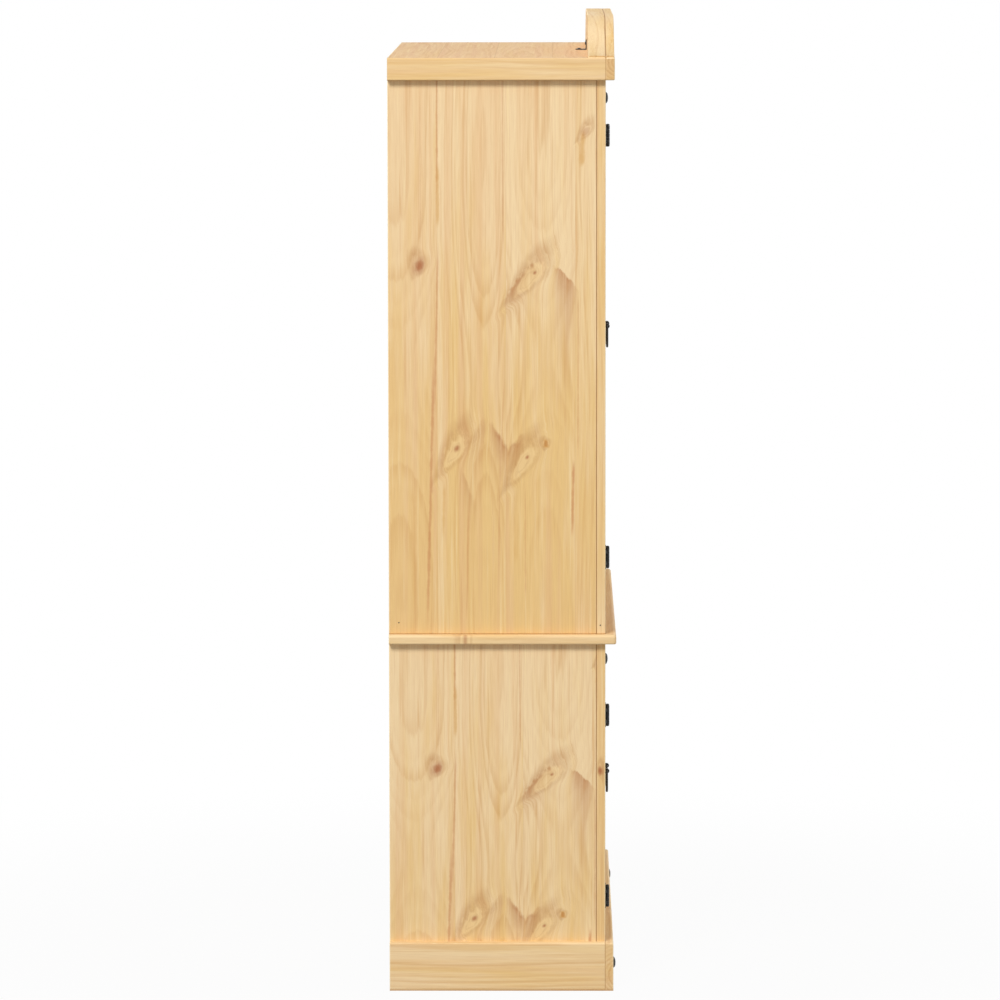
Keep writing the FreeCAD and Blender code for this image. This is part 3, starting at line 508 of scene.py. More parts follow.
pine("base_stile_left", "y", "z", 41.3, ((0.05, 0.06),), tone=0.1, joints=(frame_back,), knots=(
    (0.001, 0.0900, 8, 0.014, 0.0042, -0.05, 0.0062, 1.0, 0.1),))
pine("base_stile_right", "x", "z", 43.1, ((0.04, 0.05),), tone=0.05, joints=(frame_back,))
pine("hutch_stile_left", "y", "z", 45.7, ((0.04, 0.06),), tone=0.05, joints=(frame_back, hutch_foot_joint_and_shade))
pine("hutch_stile_right", "x", "z", 47.9, ((-0.03, 0.06),), joints=(frame_back,))
rail_joints = (("x", -0.494), ("x", 0.494))
pine("base_top_rail", "z", "x", 51.0, ((-0.02, 0.03),), tone=0.1, joints=rail_joints, knots=(
    (0.006, 0.21, 80, 0.020, 0.009, 0.0, 0.0050, 0.9),))
pine("hutch_top_rail", "z", "x", 53.0, ((0.03, 0.04),), joints=rail_joints)
pine("hutch_bottom_rail", "z", "x", 57.0, ((0.01, 0.025),), tone=0.15, joints=rail_joints, knots=(
    (-0.010, -0.26, 75, 0.026, 0.011, 0.1, 0.0055, 0.9),))


# Inside of the cases
# Bottom boards, top board and shelves are glued up from pine strips that run the width of the cabinet.
# The backs are thin pine plywood, whose peeled face has wide, slow arches.

shelf_hearts = ((-0.18, 0.03, 2.0, 0.1), (-0.05, 0.05, 6.0, 0.0), (0.06, 0.03, 11.0, 0.15), (0.17, 0.06, 15.0, 0.0))
shelf_seams = (-0.105, 0.004, 0.112)
pine("base_bottom_board", "y", "x", 61.0, shelf_hearts, shelf_seams)
pine("base_shelf", "y", "x", 63.0, shelf_hearts, shelf_seams, knots=(
    (0.03, -0.20, 60, 0.022, 0.011, 0.0, 0.0055, 0.9),))
pine("hutch_bottom_board", "y", "x", 65.0, shelf_hearts, shelf_seams)
# The top board's rosy tone is painted shade, darkening the top face that the lamps light from above.
pine("hutch_top_board", "y", "x", 67.5, shelf_hearts, shelf_seams, tone=0.5)
pine("hutch_shelf_lower", "y", "x", 69.0, shelf_hearts, shelf_seams)
pine("hutch_shelf_upper", "y", "x", 71.0, shelf_hearts, shelf_seams, knots=(
    (-0.06, 0.24, 70, 0.022, 0.011, 0.0, 0.0055, 0.9),))
for node, seed, hearts, middle_seam in (
        ("base_back_panel", 73.0, ((-0.2, 0.02), (0.30, 0.03, 4.0)), 0.02),
        ("hutch_back_panel", 77.0, ((-0.25, 0.02), (0.25, 0.03, 4.0)), -0.01)):
    pine(node, "x", "z", seed, hearts, (middle_seam,), ring_width=0.020, line_share=0.3)


# Plinth
# Three pine boards planted on the foot of the base, the front one over the sawn ends of the other two.
# Their top edges are rounded, and the grain is level.

frame_face = ("y", -0.19575)
# The dark line at the plinth's foot is a painted shadow where it stands on the floor; the line at the front board is a
# joint.
plinth_joints_and_foot_shade = (frame_face, ("z", 0.0, 0.006))
pine("plinth_front", "z", "x", 81.0, ((-0.01, 0.02),), line_share=0.4, end_share=0.3, golden=0.3,
     joints=plinth_joints_and_foot_shade, knots=((0.012, -0.19, 80, 0.026, 0.012, 0.0, 0.0060, 0.9),))
pine("plinth_side_left", "z", "y", 83.0, ((0.052, 0.060),), line_share=0.42, ring_width=0.0085, golden=0.35,
     tone=-0.25, joints=plinth_joints_and_foot_shade)
pine("plinth_side_right", "z", "-y", 85.0, ((0.012, 0.04),), line_share=0.35, ring_width=0.012, golden=0.4,
     tone=-0.25, joints=plinth_joints_and_foot_shade)


# Worktop
# A pine slab of level strips with a lipping mitred round its front and ends, so no sawn end shows.
# The lipping is rounded more above than below.

worktop_hearts = ((-0.20, 0.02, 1.0), (-0.14, 0.04, 3.0), (-0.02, 0.03, 7.0, 0.15), (0.12, 0.05, 9.0))
pine("worktop", "y", "x", 87.0, worktop_hearts, (-0.19625, -0.075, 0.065), caps=("x", 0.020, "mitre"),
     line_share=0.4, knots=((-0.560, 0.071, 90, 0.006, 0.010, 0.0, 0.0040, 0.6, 0.3),))


# Cornice and crest
# The cornice is three pine boards round the top of the hutch, and the sawn ends of the front one show on the sides.
# The crest is two layers of pine, cut to one ogee outline and glued, standing on the front of the top board.

pine("cornice_front", "z", "x", 91.0, ((0.012, 0.02),), line_share=0.4, end_share=0.7, joints=(frame_face,))
pine("cornice_side_left", "z", "y", 93.0, ((0.030, 0.030),), line_share=0.45, ring_width=0.009, tone=0.12,
     edge_share=0.2, joints=(frame_face,))
pine("cornice_side_right", "z", "-y", 95.0, ((-0.016, 0.02),), line_share=0.4, joints=(frame_face,))
for node, seed, heart in (("crest_front", 97.0, 0.11), ("crest_back", 99.0, 0.10)):
    pine(node, "y", "x", seed, ((heart, 0.0),), line_share=0.3, golden=0.45, tone=-0.6, joints=(frame_face,))


# Doors
# Every door has two upright stiles and two level rails with tenons. The lower doors hold a raised pine panel in a
# groove, and the upper doors a pane of clear glass in a rebate, kept in by four pine beads.

stile_width, rail_width, bead_width = 0.072, 0.078, 0.0086
door_seed = 101.0
for level in ("lower", "upper"):
    for side in ("left", "right"):
        door = level + "_" + side + "_"
        door_seed += 7.3
        lean = 1 if side == "left" else -1
        low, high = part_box(door + "stiles")
        pine(door + "stiles", "x", "z", door_seed, ((-0.200, 0.03, 1.0, 0.2), (0.215, 0.022, 5.0)), (0.0,),
             pair=("x", stile_width), line_share=0.45, knots=(
                 (0.200, 0.10 * lean, 12, 0.020, 0.011, 0.0, 0.0052, 0.9),
                 (-0.206, -0.14 * lean, -10, 0.015, 0.009, 0.0, 0.0060, 0.8, 0.3)))
        pine(door + "rails", "z", "x", door_seed + 2.1, ((-0.2, 0.04, 1.0), (0.2, 0.05, 5.0, 0.3)), (0.0,),
             pair=("z", rail_width), line_share=0.45,
             joints=(("x", low.x + stile_width), ("x", high.x - stile_width)))
        if level == "lower":
            pine(door + "panel", "x", "z", door_seed + 4.7, ((-0.075, 0.015, 1.0), (0.06, 0.02, 6.0, 0.25)), (0.004,),
                 line_share=0.5, saddle=(0.02, 0.03), golden=0.4,
                 knots=((-0.060, 0.045 * lean, 25 * lean, 0.030, 0.013, 0.2, 0.0055, 0.9),
                        (0.085, -0.090, -15, 0.022, 0.012, 0.0, 0.0050, 0.9)))
        else:
            pine(door + "beads", "z", "x", door_seed + 5.9, caps=("x", bead_width))


def show_both(tree, share, first, second):
    """Shows one shader, and a second in its place by a share."""
    both = add_node(tree, "MixShader", share, Flow(first.outputs[0]), Flow(second.outputs[0]))
    plug(Flow(both.outputs[0]), tree.nodes["Material Output"].inputs["Surface"])


glass, tree, pane = new_material("glass")
settle(pane, {"Base Color": (0.955, 0.985, 0.972, 1), "Roughness": 0.0, "IOR": 1.5, "Transmission Weight": 1.0})
let_through = add_node(tree, "BsdfTransparent", (0.93, 0.96, 0.95, 1))
from_lamp = Flow(add_node(tree, "LightPath").outputs["Is Shadow Ray"])
show_both(tree, from_lamp, pane, let_through)
finish("upper_left_glass", glass)
finish("upper_right_glass", glass)


# Hinges
# Eight face hinges of forged iron under black lacquer. Each has two waisted leaves hammered out of plate, five rolled
# knuckles on a pin with domed tips, and two slotted round-headed screws in each leaf. The screws go into the pine.

def make_hammered_group():
    """Hammer marks, a faint brown wear on the high spots, and the roughness of old lacquer."""
    tree, given, out = open_group("Hammered", {"Position": (0, 0, 0), "Marks per metre": 260.0},
                                  {"Colour": "Color", "Roughness": "Float", "Height": "Float"})
    marks = add_node(tree, "TexVoronoi", given["Position"], None, given["Marks per metre"], feature="SMOOTH_F1")
    settle(marks, {"Smoothness": 0.6})
    from_mark = Flow(marks.outputs["Distance"])
    grit = noise(given["Position"], (1800, 1800, 1800), 2.0, 0.6)
    patch = noise(given["Position"], (90, 90, 90), 3.0, 0.6)
    colour = blend(ease(patch, 0.45, 0.75), paint(22, 21, 20), paint(36, 32, 29))
    plug(blend(ease(from_mark, 0.55, 0.85, 0.0, 0.5), colour, paint(58, 50, 44)), out["Colour"])
    plug(patch * 0.22 + 0.30, out["Roughness"])
    plug(from_mark + grit * 0.12, out["Height"])
    return tree


hammered_group = make_hammered_group()
iron, tree, shader = new_material("black_iron")
dress(shader, use_group(tree, hammered_group, position=place_in(tree)), 0.5, 0.0006)


def start_piece(name, shape, **sizes):
    """Adds a primitive with nothing else selected, names it and opens it for shaping."""
    bpy.ops.object.select_all(action="DESELECT")
    getattr(bpy.ops.mesh, "primitive_" + shape + "_add")(**sizes)
    piece = bpy.context.object
    piece.name = piece.data.name = name
    bpy.ops.object.transform_apply(location=True, rotation=True, scale=True)
    bpy.ops.object.mode_set(mode="EDIT")
    return piece


def choose(kind, test):
    """Selects the points, edges or faces that pass a test of their middle and the way they face or run."""
    bpy.ops.mesh.select_mode(type=kind)
    bpy.ops.mesh.select_all(action="DESELECT")
    mesh = bpy.context.object.data
    shape = bmesh.from_edit_mesh(mesh)
    for item in {"VERT": shape.verts, "EDGE": shape.edges, "FACE": shape.faces}[kind]:
        corners = [item] if kind == "VERT" else list(item.verts)
        middle = sum((corner.co for corner in corners), Vector()) / len(corners)
        way = (corners[1].co - corners[0].co).normalized() if kind == "EDGE" else item.normal
        item.select_set(bool(test(middle, way)))
    shape.select_flush_mode()
    bmesh.update_edit_mesh(mesh)


def choose_all():
    """Selects the whole piece."""
    bpy.ops.mesh.select_all(action="SELECT")


def near(value, wanted):
    """Whether two lengths are the same to a fiftieth of a millimetre."""
    return abs(value - wanted) < 0.00002


def shift_by(x, y, z):
    """Moves what is chosen."""
    bpy.ops.transform.translate(value=(x, y, z))


def draw_out(x, y, z):
    """Extrudes what is chosen."""
    bpy.ops.mesh.extrude_region_move(TRANSFORM_OT_translate={"value": (x, y, z)})


def spread(x, y, z, centre):
    """Scales what is chosen from a point."""
    bpy.ops.transform.resize(value=(x, y, z), center_override=centre)


def round_over(size, steps=2, profile=0.5):
    """Bevels the chosen edges."""
    bpy.ops.mesh.bevel(offset=size, segments=steps, profile=profile, affect="EDGES")


def start_rod(name, axis, sides, radius, start, end, *rims):
    """A short round rod along an axis, from start to end. Each rim is a level to round over, its size and steps."""
    index = "xyz".index(axis)
    middle = [0, 0, 0]
    middle[index] = (start + end) / 2
    start_piece(name, "cylinder", vertices=sides, radius=radius, depth=abs(end - start), location=middle,
                rotation=((0, math.pi / 2, 0), (math.pi / 2, 0, 0), (0, 0, 0))[index])
    for level, size, steps in rims:
        choose("EDGE", lambda middle, way: near(middle[index], level))
        round_over(size, steps)


def close_piece(angle=35):
    """Merges doubles, turns the faces outwards and leaves edit mode, smooth up to an angle."""
    choose_all()
    bpy.ops.mesh.remove_doubles(threshold=0.000002)
    bpy.ops.mesh.normals_make_consistent(inside=False)
    bpy.ops.object.mode_set(mode="OBJECT")
    bpy.ops.object.shade_smooth_by_angle(angle=math.radians(angle))
    return bpy.context.object


def copy_piece(piece, place=(0, 0, 0), turn=0.0, axis="Y", size=1.0, mirrored=False):
    """A copy with its own mesh, scaled and turned about the origin, moved, and perhaps mirrored to the right."""
    bpy.ops.object.select_all(action="DESELECT")
    piece.select_set(True)
    bpy.context.view_layer.objects.active = piece
    bpy.ops.object.duplicate()
    bpy.ops.object.mode_set(mode="EDIT")
    choose_all()
    spread(size, size, size, (0, 0, 0))
    bpy.ops.transform.rotate(value=turn, orient_axis=axis, center_override=(0, 0, 0))
    shift_by(*place)
    if mirrored:
        spread(-1, 1, 1, (0, 0, 0))
        bpy.ops.mesh.normals_make_consistent(inside=False)
    bpy.ops.object.mode_set(mode="OBJECT")
    return bpy.context.object


def join_pieces(name, pieces):
    """Joins finished shapes into one piece."""
    bpy.ops.object.select_all(action="DESELECT")
    for piece in pieces:
        piece.select_set(True)
    bpy.context.view_layer.objects.active = pieces[0]
    bpy.ops.object.join()
    whole = bpy.context.object
    whole.name = whole.data.name = name
    return whole


def discard(*pieces):
    """Removes shapes that were only there to be copied."""
    for piece in pieces:
        bpy.data.objects.remove(piece)


def fix_on(piece, body, slot, material, *nodes):
    """Gives a piece its material and the body that it rides on, in place of plain nodes."""
    piece.data.materials.clear()
    piece.data.materials.append(material)
    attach(piece, body)
    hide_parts(*nodes)


# One screw head, facing -Y from the origin, with its slot level
head_height, half_slot, slot_depth = 0.0017, 0.00038, 0.0007
start_rod("screw", "y", 24, 0.0032, 0, -head_height, (-head_height, 0.0014, 4))
for height in (-half_slot, half_slot):
    choose_all()
    bpy.ops.mesh.bisect(plane_co=(0, 0, height), plane_no=(0, 0, 1))
choose("FACE", lambda middle, way: way.y < -0.3 and abs(middle.z) < half_slot)
draw_out(0, slot_depth, 0)
screw = close_piece()

# A leaf's outer edge bows out, and its upper and lower edges narrow to a waist and flare again. It stands a little off
# the pin's axis, and a tongue joins it to each of its knuckles.
leaf_start, leaf_width, leaf_half, leaf_thickness = 0.0039, 0.0181, 0.01835, 0.0015
leaf_back, leaf_bow, leaf_narrowing, leaf_flare, tongue = 0.0044, 0.005, 0.01805, 0.0207, 0.0028
knuckle_count, knuckle_pitch, knuckle_height, knuckle_radius = 5, 0.0074, 0.0071, 0.0036


def waist(reach):
    """Half the height of a leaf at a distance from the axis."""
    share = (reach - leaf_start) / leaf_width
    return leaf_half - leaf_narrowing * share + leaf_flare * share * share


def half_hinge(name, knuckles, slots):
    """One leaf to the left of an upright axis through the origin, with its knuckles and screws."""
    columns, rows = 8, 10
    start_piece(name, "grid", x_subdivisions=columns, y_subdivisions=rows, size=1, rotation=(math.pi / 2, 0, 0))
    spread(leaf_width, 1, 2 * leaf_half, (0, 0, 0))
    shift_by(-leaf_start - leaf_width / 2, leaf_back, 0)
    for column in range(columns + 1):
        reach = leaf_start + leaf_width * column / columns
        choose("VERT", lambda middle, way: near(middle.x, -reach))
        spread(1, 1, waist(reach) / leaf_half, (0, 0, 0))
    for row in range(rows + 1):
        share = 2 * row / rows - 1
        choose("VERT", lambda middle, way: abs(middle.z / waist(-middle.x) - share) < 0.02)
        spread(1 + leaf_bow * (1 - share * share) / leaf_width, 1, 1, (-leaf_start, 0, 0))
    choose_all()
    draw_out(0, -leaf_thickness, 0)
    choose_all()
    bpy.ops.mesh.normals_make_consistent(inside=False)
    for knuckle in knuckles:
        height = 2 * leaf_half / knuckle_count * (knuckle - 2)
        choose("FACE", lambda middle, way: (
            way.x > 0.9 and near(middle.x, -leaf_start) and abs(middle.z - height) < knuckle_height / 2))
        draw_out(tongue, 0, 0)
        spread(1, 1, 0.95, (0, 0, height))
    choose("VERT", lambda middle, way: way.y < -0.9 and -0.0255 < middle.x < -0.006)
    bpy.ops.transform.vertex_random(offset=0.00022, uniform=0.0, normal=1.0, seed=7)
    bpy.ops.mesh.select_mode(type="EDGE")
    bpy.ops.mesh.select_all(action="DESELECT")
    bpy.ops.mesh.edges_select_sharp(sharpness=math.radians(50))
    round_over(0.0003, 2)
    shapes = [close_piece()]
    for knuckle in knuckles:
        low = knuckle_pitch * (knuckle - 2) - knuckle_height / 2
        high = low + knuckle_height
        start_rod("knuckle", "z", 28, knuckle_radius, low, high, (low, 0.0005, 3), (high, 0.0005, 3))
        shapes.append(close_piece())
    for height, slot in zip((-0.011, 0.011), slots):
        shapes.append(copy_piece(screw, (-0.015, 0.0029, height), slot))
    return shapes


frame_half = half_hinge("frame_half", (0, 2, 4), (0.5, 1.9))
half_pin, tip_gap, tip_height = 0.0186, 0.00005, 0.003
start_rod("pin", "z", 20, 0.0017, -half_pin, half_pin)
frame_half.append(close_piece())
for way_up in (-1, 1):
    foot, tip = (half_pin + tip_gap) * way_up, (half_pin + tip_gap + tip_height) * way_up
    start_rod("pin_tip", "z", 28, 0.0034, foot, tip, (tip, 0.0024, 5), (foot, 0.0004, 2))
    frame_half.append(close_piece())
frame_half = join_pieces("frame_half", frame_half)
door_half = join_pieces("door_half", half_hinge("door_half", (1, 3), (1.2, 2.6)))
door_half = copy_piece(door_half, mirrored=True)
discard(bpy.data.objects["door_half"])
axis_across, axis_depth = -0.493, -0.20015
hinge_heights = {"lower": (0.173, 0.523), "upper": (0.827, 1.631)}
on_frame = []
for level, heights in hinge_heights.items():
    for side in ("left", "right"):
        on_door = []
        for height in heights:
            place, flip = (axis_across, axis_depth, height), side == "right"
            on_frame.append(copy_piece(frame_half, place, mirrored=flip))
            on_door.append(copy_piece(door_half, place, mirrored=flip))
        leaves = join_pieces(level + "_" + side + "_hinges", on_door)
        fix_on(leaves, level + "_" + side + "_door", "black_iron", iron, level + "_" + side + "_hinge_leaves")
fix_on(join_pieces("frame_hinges", on_frame), "cabinet", "black_iron", iron, "frame_hinge_leaves")
discard(frame_half, door_half)


# Ring pulls
# On each door a small rosette, a forged eye on a bolt through the stile with a washer and nut behind it, and a
# pear-shaped ring of round iron that hangs in the eye. The catch's strike plate is screwed to the back of the door.

door_back = 0.0245
start_rod("rosette", "y", 48, 0.0065, 0.0075, 0.0059, (0.0059, 0.0006, 3))
for inset, lift in ((0.0009, 0.0004), (0.0006, 0.0), (0.0009, -0.0008), (0.0012, -0.0004)):
    choose("FACE", lambda middle, way: way.y < -0.9 and middle.xz.length < 0.0005 and middle.y < 0.0068)
    bpy.ops.mesh.inset(thickness=inset)
    shift_by(0, lift, 0)
pull_shapes = [close_piece()]
start_piece("eye", "circle", vertices=16, radius=0.00133, fill_type="NOTHING", rotation=(math.pi / 2, 0, 0))
spread(2.63, 1, 1, (0, 0, 0))
shift_by(0, 0, 0.003665)
bpy.ops.mesh.spin(steps=36, angle=2 * math.pi, center=(0, 0, 0), axis=(1, 0, 0))
pull_shapes.append(close_piece(50))
start_rod("neck", "y", 24, 0.0025, 0.0035, 0.0063)
choose("EDGE", lambda middle, way: near(middle.y, 0.0063))
spread(1.15, 1, 1.15, (0, 0.0063, 0))
pull_shapes.append(close_piece())
start_rod("washer", "y", 36, 0.005, door_back, door_back + 0.001, (door_back + 0.001, 0.0004, 2))
pull_shapes.append(close_piece())
start_rod("nut", "y", 6, 0.00404, door_back + 0.001, door_back + 0.0042, (door_back + 0.0042, 0.0005, 2))
choose("FACE", lambda middle, way: way.y > 0.9)
bpy.ops.mesh.inset(thickness=0.0005)
pull_shapes.append(close_piece(20))
start_rod("bolt_end", "y", 24, 0.0019, door_back + 0.0035, door_back + 0.006, (door_back + 0.006, 0.0006, 2))
pull_shapes.append(close_piece())
pull = join_pieces("pull", pull_shapes)

start_piece("strike", "cube", size=1)
spread(0.034, 0.001, 0.012, (0, 0, 0))
choose("EDGE", lambda middle, way: abs(way.y) > 0.9)
round_over(0.0025, 5)
choose("EDGE", lambda middle, way: near(middle.y, 0.0005))
round_over(0.0003, 2)
strike = [close_piece()]
for across in (-0.0105, 0.0105):
    strike.append(copy_piece(screw, (across, 0.0005, 0), math.pi, "Z", 0.62))
strike = join_pieces("strike", strike)

pull_across, door_face = -0.0375, -0.20325
pull_heights = {"lower": 0.347, "upper": 1.235}
door_tops = {"lower": 0.598, "upper": 1.696}
catch_across, strike_depth, strike_drop = -0.0545, -0.17825, 0.0075
for level, height in pull_heights.items():
    for side in ("left", "right"):
        flip = side == "right"
        door = level + "_" + side + "_"
        strike_place = (catch_across, strike_depth, door_tops[level] - strike_drop)
        parts = [copy_piece(pull, (pull_across, door_face, height), mirrored=flip),
                 copy_piece(strike, strike_place, mirrored=flip)]
        fix_on(join_pieces(door + "pull", parts), door + "door", "black_iron", iron, door + "fittings")
        finish(door + "ring", iron)
discard(pull, strike)


# Catches
# Two magnetic catches behind each top rail: a brown plastic housing with a magnet between two steel plates,
# screwed up under the rail.

def make_speckle_group():
    """Fine grit and soft patches for moulded plastic and plated or plain steel."""
    tree, given, out = open_group("Speckle", {
        "Position": (0, 0, 0), "Dark": (0.1, 0.1, 0.1, 1), "Light": (0.2, 0.2, 0.2, 1), "Roughness": 0.4,
        "Grain per metre": 1500.0
    }, {"Colour": "Color", "Roughness": "Float", "Height": "Float"})
    grit = Flow(add_node(tree, "TexNoise", given["Position"], None, given["Grain per metre"]).outputs[0])
    share = noise(given["Position"], (60, 60, 60), 3.0, 0.6) * 0.7 + grit * 0.3
    plug(blend(ease(share, 0.3, 0.7), given["Dark"], given["Light"]), out["Colour"])
    plug(share * 0.2 + given["Roughness"], out["Roughness"])
    plug(grit, out["Height"])
    return tree


speckle_group = make_speckle_group()


def speckled(name, dark, light, roughness, metallic, grain=1500.0):
    """A material with fine grit between two colours."""
    material, tree, shader = new_material(name)
    speckle = use_group(tree, speckle_group, position=place_in(tree), dark=dark, light=light, roughness=roughness,
                        grain_per_metre=grain)
    dress(shader, speckle, 0.2, 0.0002)
    settle(shader, {"Metallic": metallic})
    return material


plastic = speckled("brown_plastic", paint(92, 66, 44), paint(112, 82, 56), 0.38, 0.0)
zinc = speckled("zinc_plated", paint(168, 170, 174), paint(205, 206, 208), 0.26, 1.0, 2500.0)
start_piece("housing", "cube", size=1, location=(0, 0.0065, 0))
spread(0.046, 0.013, 0.030, (0, 0.0065, 0))
choose_all()
bpy.ops.mesh.bisect(plane_co=(0, 0, 0.0005), plane_no=(0, 0, 1))
choose("FACE", lambda middle, way: way.y < -0.9 and middle.z > 0.0005)
draw_out(0, -0.0013, 0)
choose("EDGE", lambda middle, way: middle.y > 0.0001 or abs(way.z) > 0.9)
round_over(0.0012, 3)
choose("FACE", lambda middle, way: way.y < -0.9 and middle.z < 0 and middle.y > -0.0005)
bpy.ops.mesh.inset(thickness=0.0022)
draw_out(0, 0.0012, 0)
housing = close_piece()
plates = []
for height in (-0.0105, -0.0045):
    start_piece("pole_plate", "cube", size=1, location=(0, 0.001, height))
    spread(0.034, 0.0018, 0.0016, (0, 0.001, height))
    choose_all()
    round_over(0.0002, 2)
    plates.append(close_piece())
for across in (-0.016, 0.016):
    plates.append(copy_piece(screw, (across, 0.013, 0.006), math.pi, "Z", 0.8))
plates = join_pieces("plates", plates)
housings, all_plates = [], []
for door_top in door_tops.values():
    for flip in (False, True):
        place = (catch_across, -0.17745, door_top)
        housings.append(copy_piece(housing, place, mirrored=flip))
        all_plates.append(copy_piece(plates, place, mirrored=flip))
fix_on(join_pieces("catch_housings", housings), "cabinet", "catch_plastic", plastic, "door_catches")
fix_on(join_pieces("catch_plates", all_plates), "cabinet", "pin_steel", zinc, "door_catches")
discard(housing, plates)


# Shelf pins
# Zinc-plated pins with a thin collar, pushed into blind holes in the sides. Four carry each shelf.

pin_radius, pin_tip, side_inner_face = 0.0025, 0.008, -0.527
start_rod("shelf_pin", "x", 24, pin_radius, -0.0005, pin_tip, (pin_tip, 0.0006, 3))
pin = [close_piece()]
start_rod("collar", "x", 28, 0.0038, 0, 0.0008, (0.0008, 0.0003, 2))
pin.append(close_piece())
pin = join_pieces("shelf_pin", pin)
pin_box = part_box("shelf_pins")
pins = []
for underside in (0.332, 1.05267, 1.40733):
    for depth in (pin_box[0].y + pin_radius, pin_box[1].y - pin_radius):
        for flip in (False, True):
            pins.append(copy_piece(pin, (side_inner_face, depth, underside - pin_radius), mirrored=flip))
fix_on(join_pieces("shelf_pins_zinc", pins), "cabinet", "pin_steel", zinc, "shelf_pins")
discard(pin)


# Nails and the bracket
# Six dome-headed nails are hammered into the front: four in the corner stiles and two in the plinth. Two plain nails
# hold each side to the hutch's bottom board, and a bent iron strap with two screws steadies the crest from behind.

stile_face, plinth_face = -0.19575, -0.21125
clavo_places = ((0.519, stile_face, 1.703), (0.519, stile_face, 0.635), (0.5175, plinth_face, 0.048))
clavos = []
for count, (across, depth, height) in enumerate(clavo_places * 2):
    start_piece("clavo", "ico_sphere", subdivisions=4, radius=0.01075)
    choose_all()
    bpy.ops.mesh.bisect(plane_co=(0, 0, 0), plane_no=(0, 1, 0), use_fill=True, clear_outer=True)
    choose_all()
    spread(1, 0.42, 1, (0, 0, 0))
    choose("VERT", lambda middle, way: -0.0040 < middle.y < -0.0008)
    bpy.ops.transform.vertex_random(offset=0.00028, normal=1.0, seed=11 + count)
    choose_all()
    shift_by(across if count > 2 else -across, depth, height)
    clavos.append(close_piece(28))
fix_on(join_pieces("clavos_forged", clavos), "cabinet", "black_iron", iron, "clavos")

dark_steel = speckled("dark_nail_steel", paint(60, 54, 48), paint(92, 84, 76), 0.4, 0.8)
half_head = 0.0004
start_rod("nail", "x", 20, 0.0013, half_head, -half_head, (-half_head, 0.0003, 3))
nail = close_piece()
nails = [copy_piece(nail, (side_face, depth, height), mirrored=flip)
         for depth, height in ((-0.18615, 0.702), (0.19725, 0.707)) for flip in (False, True)]
discard(nail)
fix_on(join_pieces("nail_heads", nails), "cabinet", "nail_steel", dark_steel, "side_nails")

crest_rear, top = -0.16275, 1.779
start_piece("strap", "cube", size=1)
spread(0.018, 0.002, 0.002, (0, 0, 0))
shift_by(0, crest_rear + 0.001, top + 0.001)
choose("FACE", lambda middle, way: way.y > 0.9)
draw_out(0, 0.020, 0)
choose("FACE", lambda middle, way: way.z > 0.9 and middle.y < crest_rear + 0.002)
draw_out(0, 0, 0.018)
choose("EDGE", lambda middle, way: (
    near(middle.y, crest_rear + 0.022) and abs(way.z) > 0.9 or near(middle.z, top + 0.020) and abs(way.y) > 0.9))
round_over(0.005, 5)
choose("EDGE", lambda middle, way: (
    abs(way.x) > 0.9 and near(middle.y, crest_rear + 0.002) and near(middle.z, top + 0.002)))
round_over(0.0015, 4)
bpy.ops.mesh.select_all(action="DESELECT")
bpy.ops.mesh.edges_select_sharp(sharpness=math.radians(60))
round_over(0.0003, 2)
strap = [close_piece()]
strap.append(copy_piece(screw, (0, crest_rear + 0.002, top + 0.013), math.pi, "Z"))
strap.append(copy_piece(screw, (0, crest_rear + 0.015, top + 0.002), math.pi / 2, "X"))
fix_on(join_pieces("crest_strap", strap), "cabinet", "black_iron", iron, "crest_bracket")
discard(screw)


# Stage, lamps and camera
# A plain pale floor under a soft box high on the left and behind, with weaker light low from the other sides.
# The camera stands where the photograph was taken: square to the left side, far off and a little above.

def seen_straight(tree):
    """1 where a surface is seen by eye, in a reflection or through the glass, and 0 where it only gives light."""
    rays = add_node(tree, "LightPath").outputs
    return most(*(Flow(rays[label]) for label in ("Is Camera Ray", "Is Glossy Ray", "Is Transmission Ray")))


world = bpy.data.worlds.new("studio")
bpy.context.scene.world = world
world.use_nodes = True
background = world.node_tree.nodes["Background"]
background.inputs["Color"].default_value = (1, 1, 1, 1)
plug(seen_straight(world.node_tree) * 0.55 + 0.45, background.inputs["Strength"])

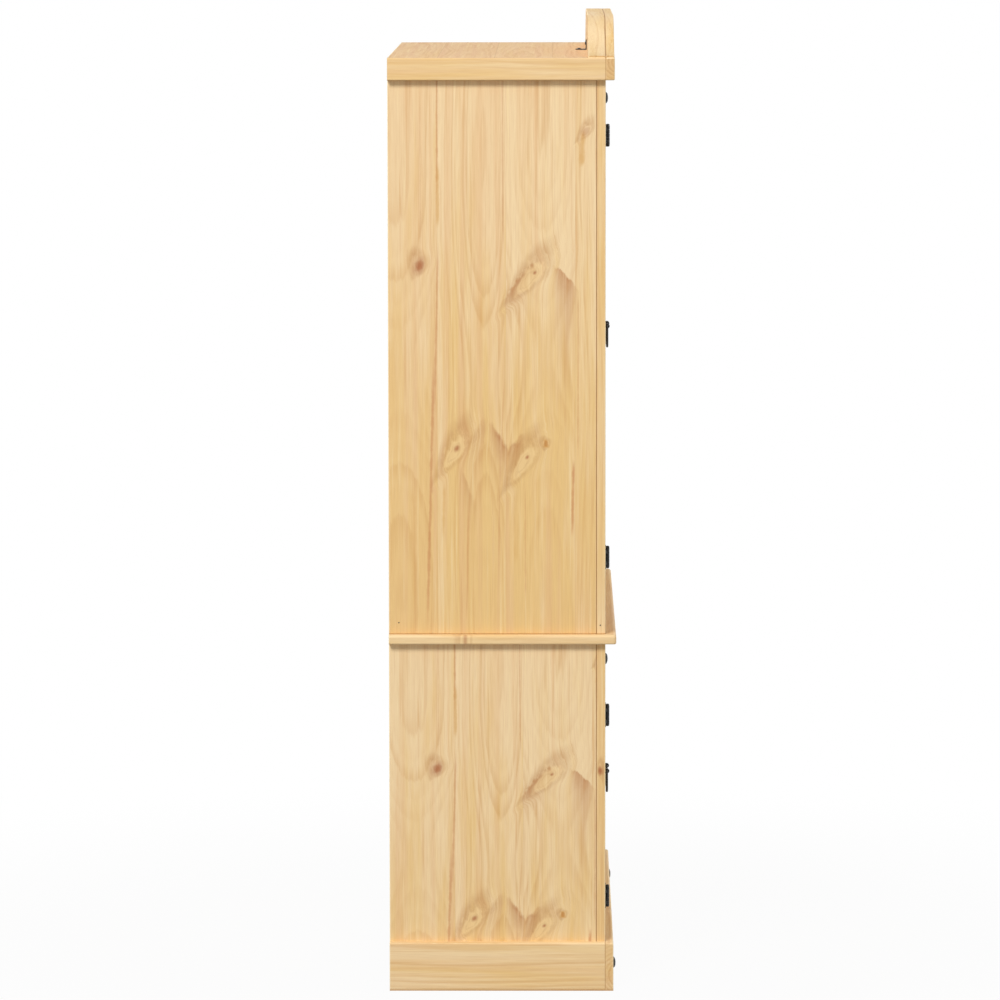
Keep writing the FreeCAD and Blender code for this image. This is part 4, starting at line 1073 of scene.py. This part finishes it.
bpy.ops.object.select_all(action="DESELECT")
bpy.ops.mesh.primitive_circle_add(vertices=96, radius=9, fill_type="NGON", location=(0, 0, 0))
floor = bpy.context.object
floor.name = "floor"
floor_paint, tree, matt = new_material("floor_paint")
settle(matt, {"Base Color": (0.36, 0.36, 0.358, 1), "Roughness": 0.9, "Specular IOR Level": 0.1})
glow = add_node(tree, "Emission", (1, 1, 1, 1), 1.0)
away = Flow(add_node(tree, "VectorMath", place_in(tree), operation="LENGTH").outputs["Value"])
show_both(tree, seen_straight(tree) * ease(away, 0.7, 2.2, 0.96, 1.0), matt, glow)
floor.data.materials.append(floor_paint)


def soft_box(name, place, aim, size, power, mirrored=False):
    """A square soft lamp at a place, turned to a point. Only a mirrored one shows in the glass and the iron."""
    lamp = bpy.data.lights.new(name, "AREA")
    lamp.shape = "SQUARE"
    lamp.size = size
    lamp.energy = power
    made = bpy.data.objects.new(name, lamp)
    bpy.context.scene.collection.objects.link(made)
    made.location = place
    made.rotation_euler = (Vector(aim) - Vector(place)).to_track_quat("-Z", "Y").to_euler()
    made.visible_glossy = made.visible_transmission = mirrored


soft_box("key_lamp", (-11.2, 4.2, 10.5), (-0.3, 0, 0.4), 4.2, 1600, mirrored=True)
soft_box("front_lamp", (1.8, -5.5, 1.1), (0, 0, 0.9), 1.6, 120)
soft_box("right_lamp", (4.6, 2.4, 0.9), (0.5, 0, 0.8), 1.9, 85)
soft_box("rear_lamp", (0.4, 5.4, 0.9), (0, 0, 0.8), 1.9, 32)

camera_data = bpy.data.cameras.new("camera")
camera_data.sensor_width = 36.0
camera_data.lens = 216.6735
camera_data.clip_end = 100.0
camera = bpy.data.objects.new("camera", camera_data)
bpy.context.scene.collection.objects.link(camera)
pitch, yaw, roll = math.radians(5.875255), math.radians(0.505675), math.radians(-0.015489)
ahead = Vector((math.cos(pitch), 0, -math.sin(pitch)))
up = Vector((math.sin(pitch), 0, math.cos(pitch)))
right = Vector((0, -1, 0))
ahead, right = ahead * math.cos(yaw) - right * math.sin(yaw), right * math.cos(yaw) + ahead * math.sin(yaw)
right, up = right * math.cos(roll) + up * math.sin(roll), up * math.cos(roll) - right * math.sin(roll)
turned = Matrix((right, up, -ahead)).transposed().to_4x4()
camera.matrix_world = Matrix.Translation((-11.908517, -0.096281, 2.110981)) @ turned
bpy.context.scene.camera = camera
bpy.context.scene.view_settings.view_transform = "Standard"
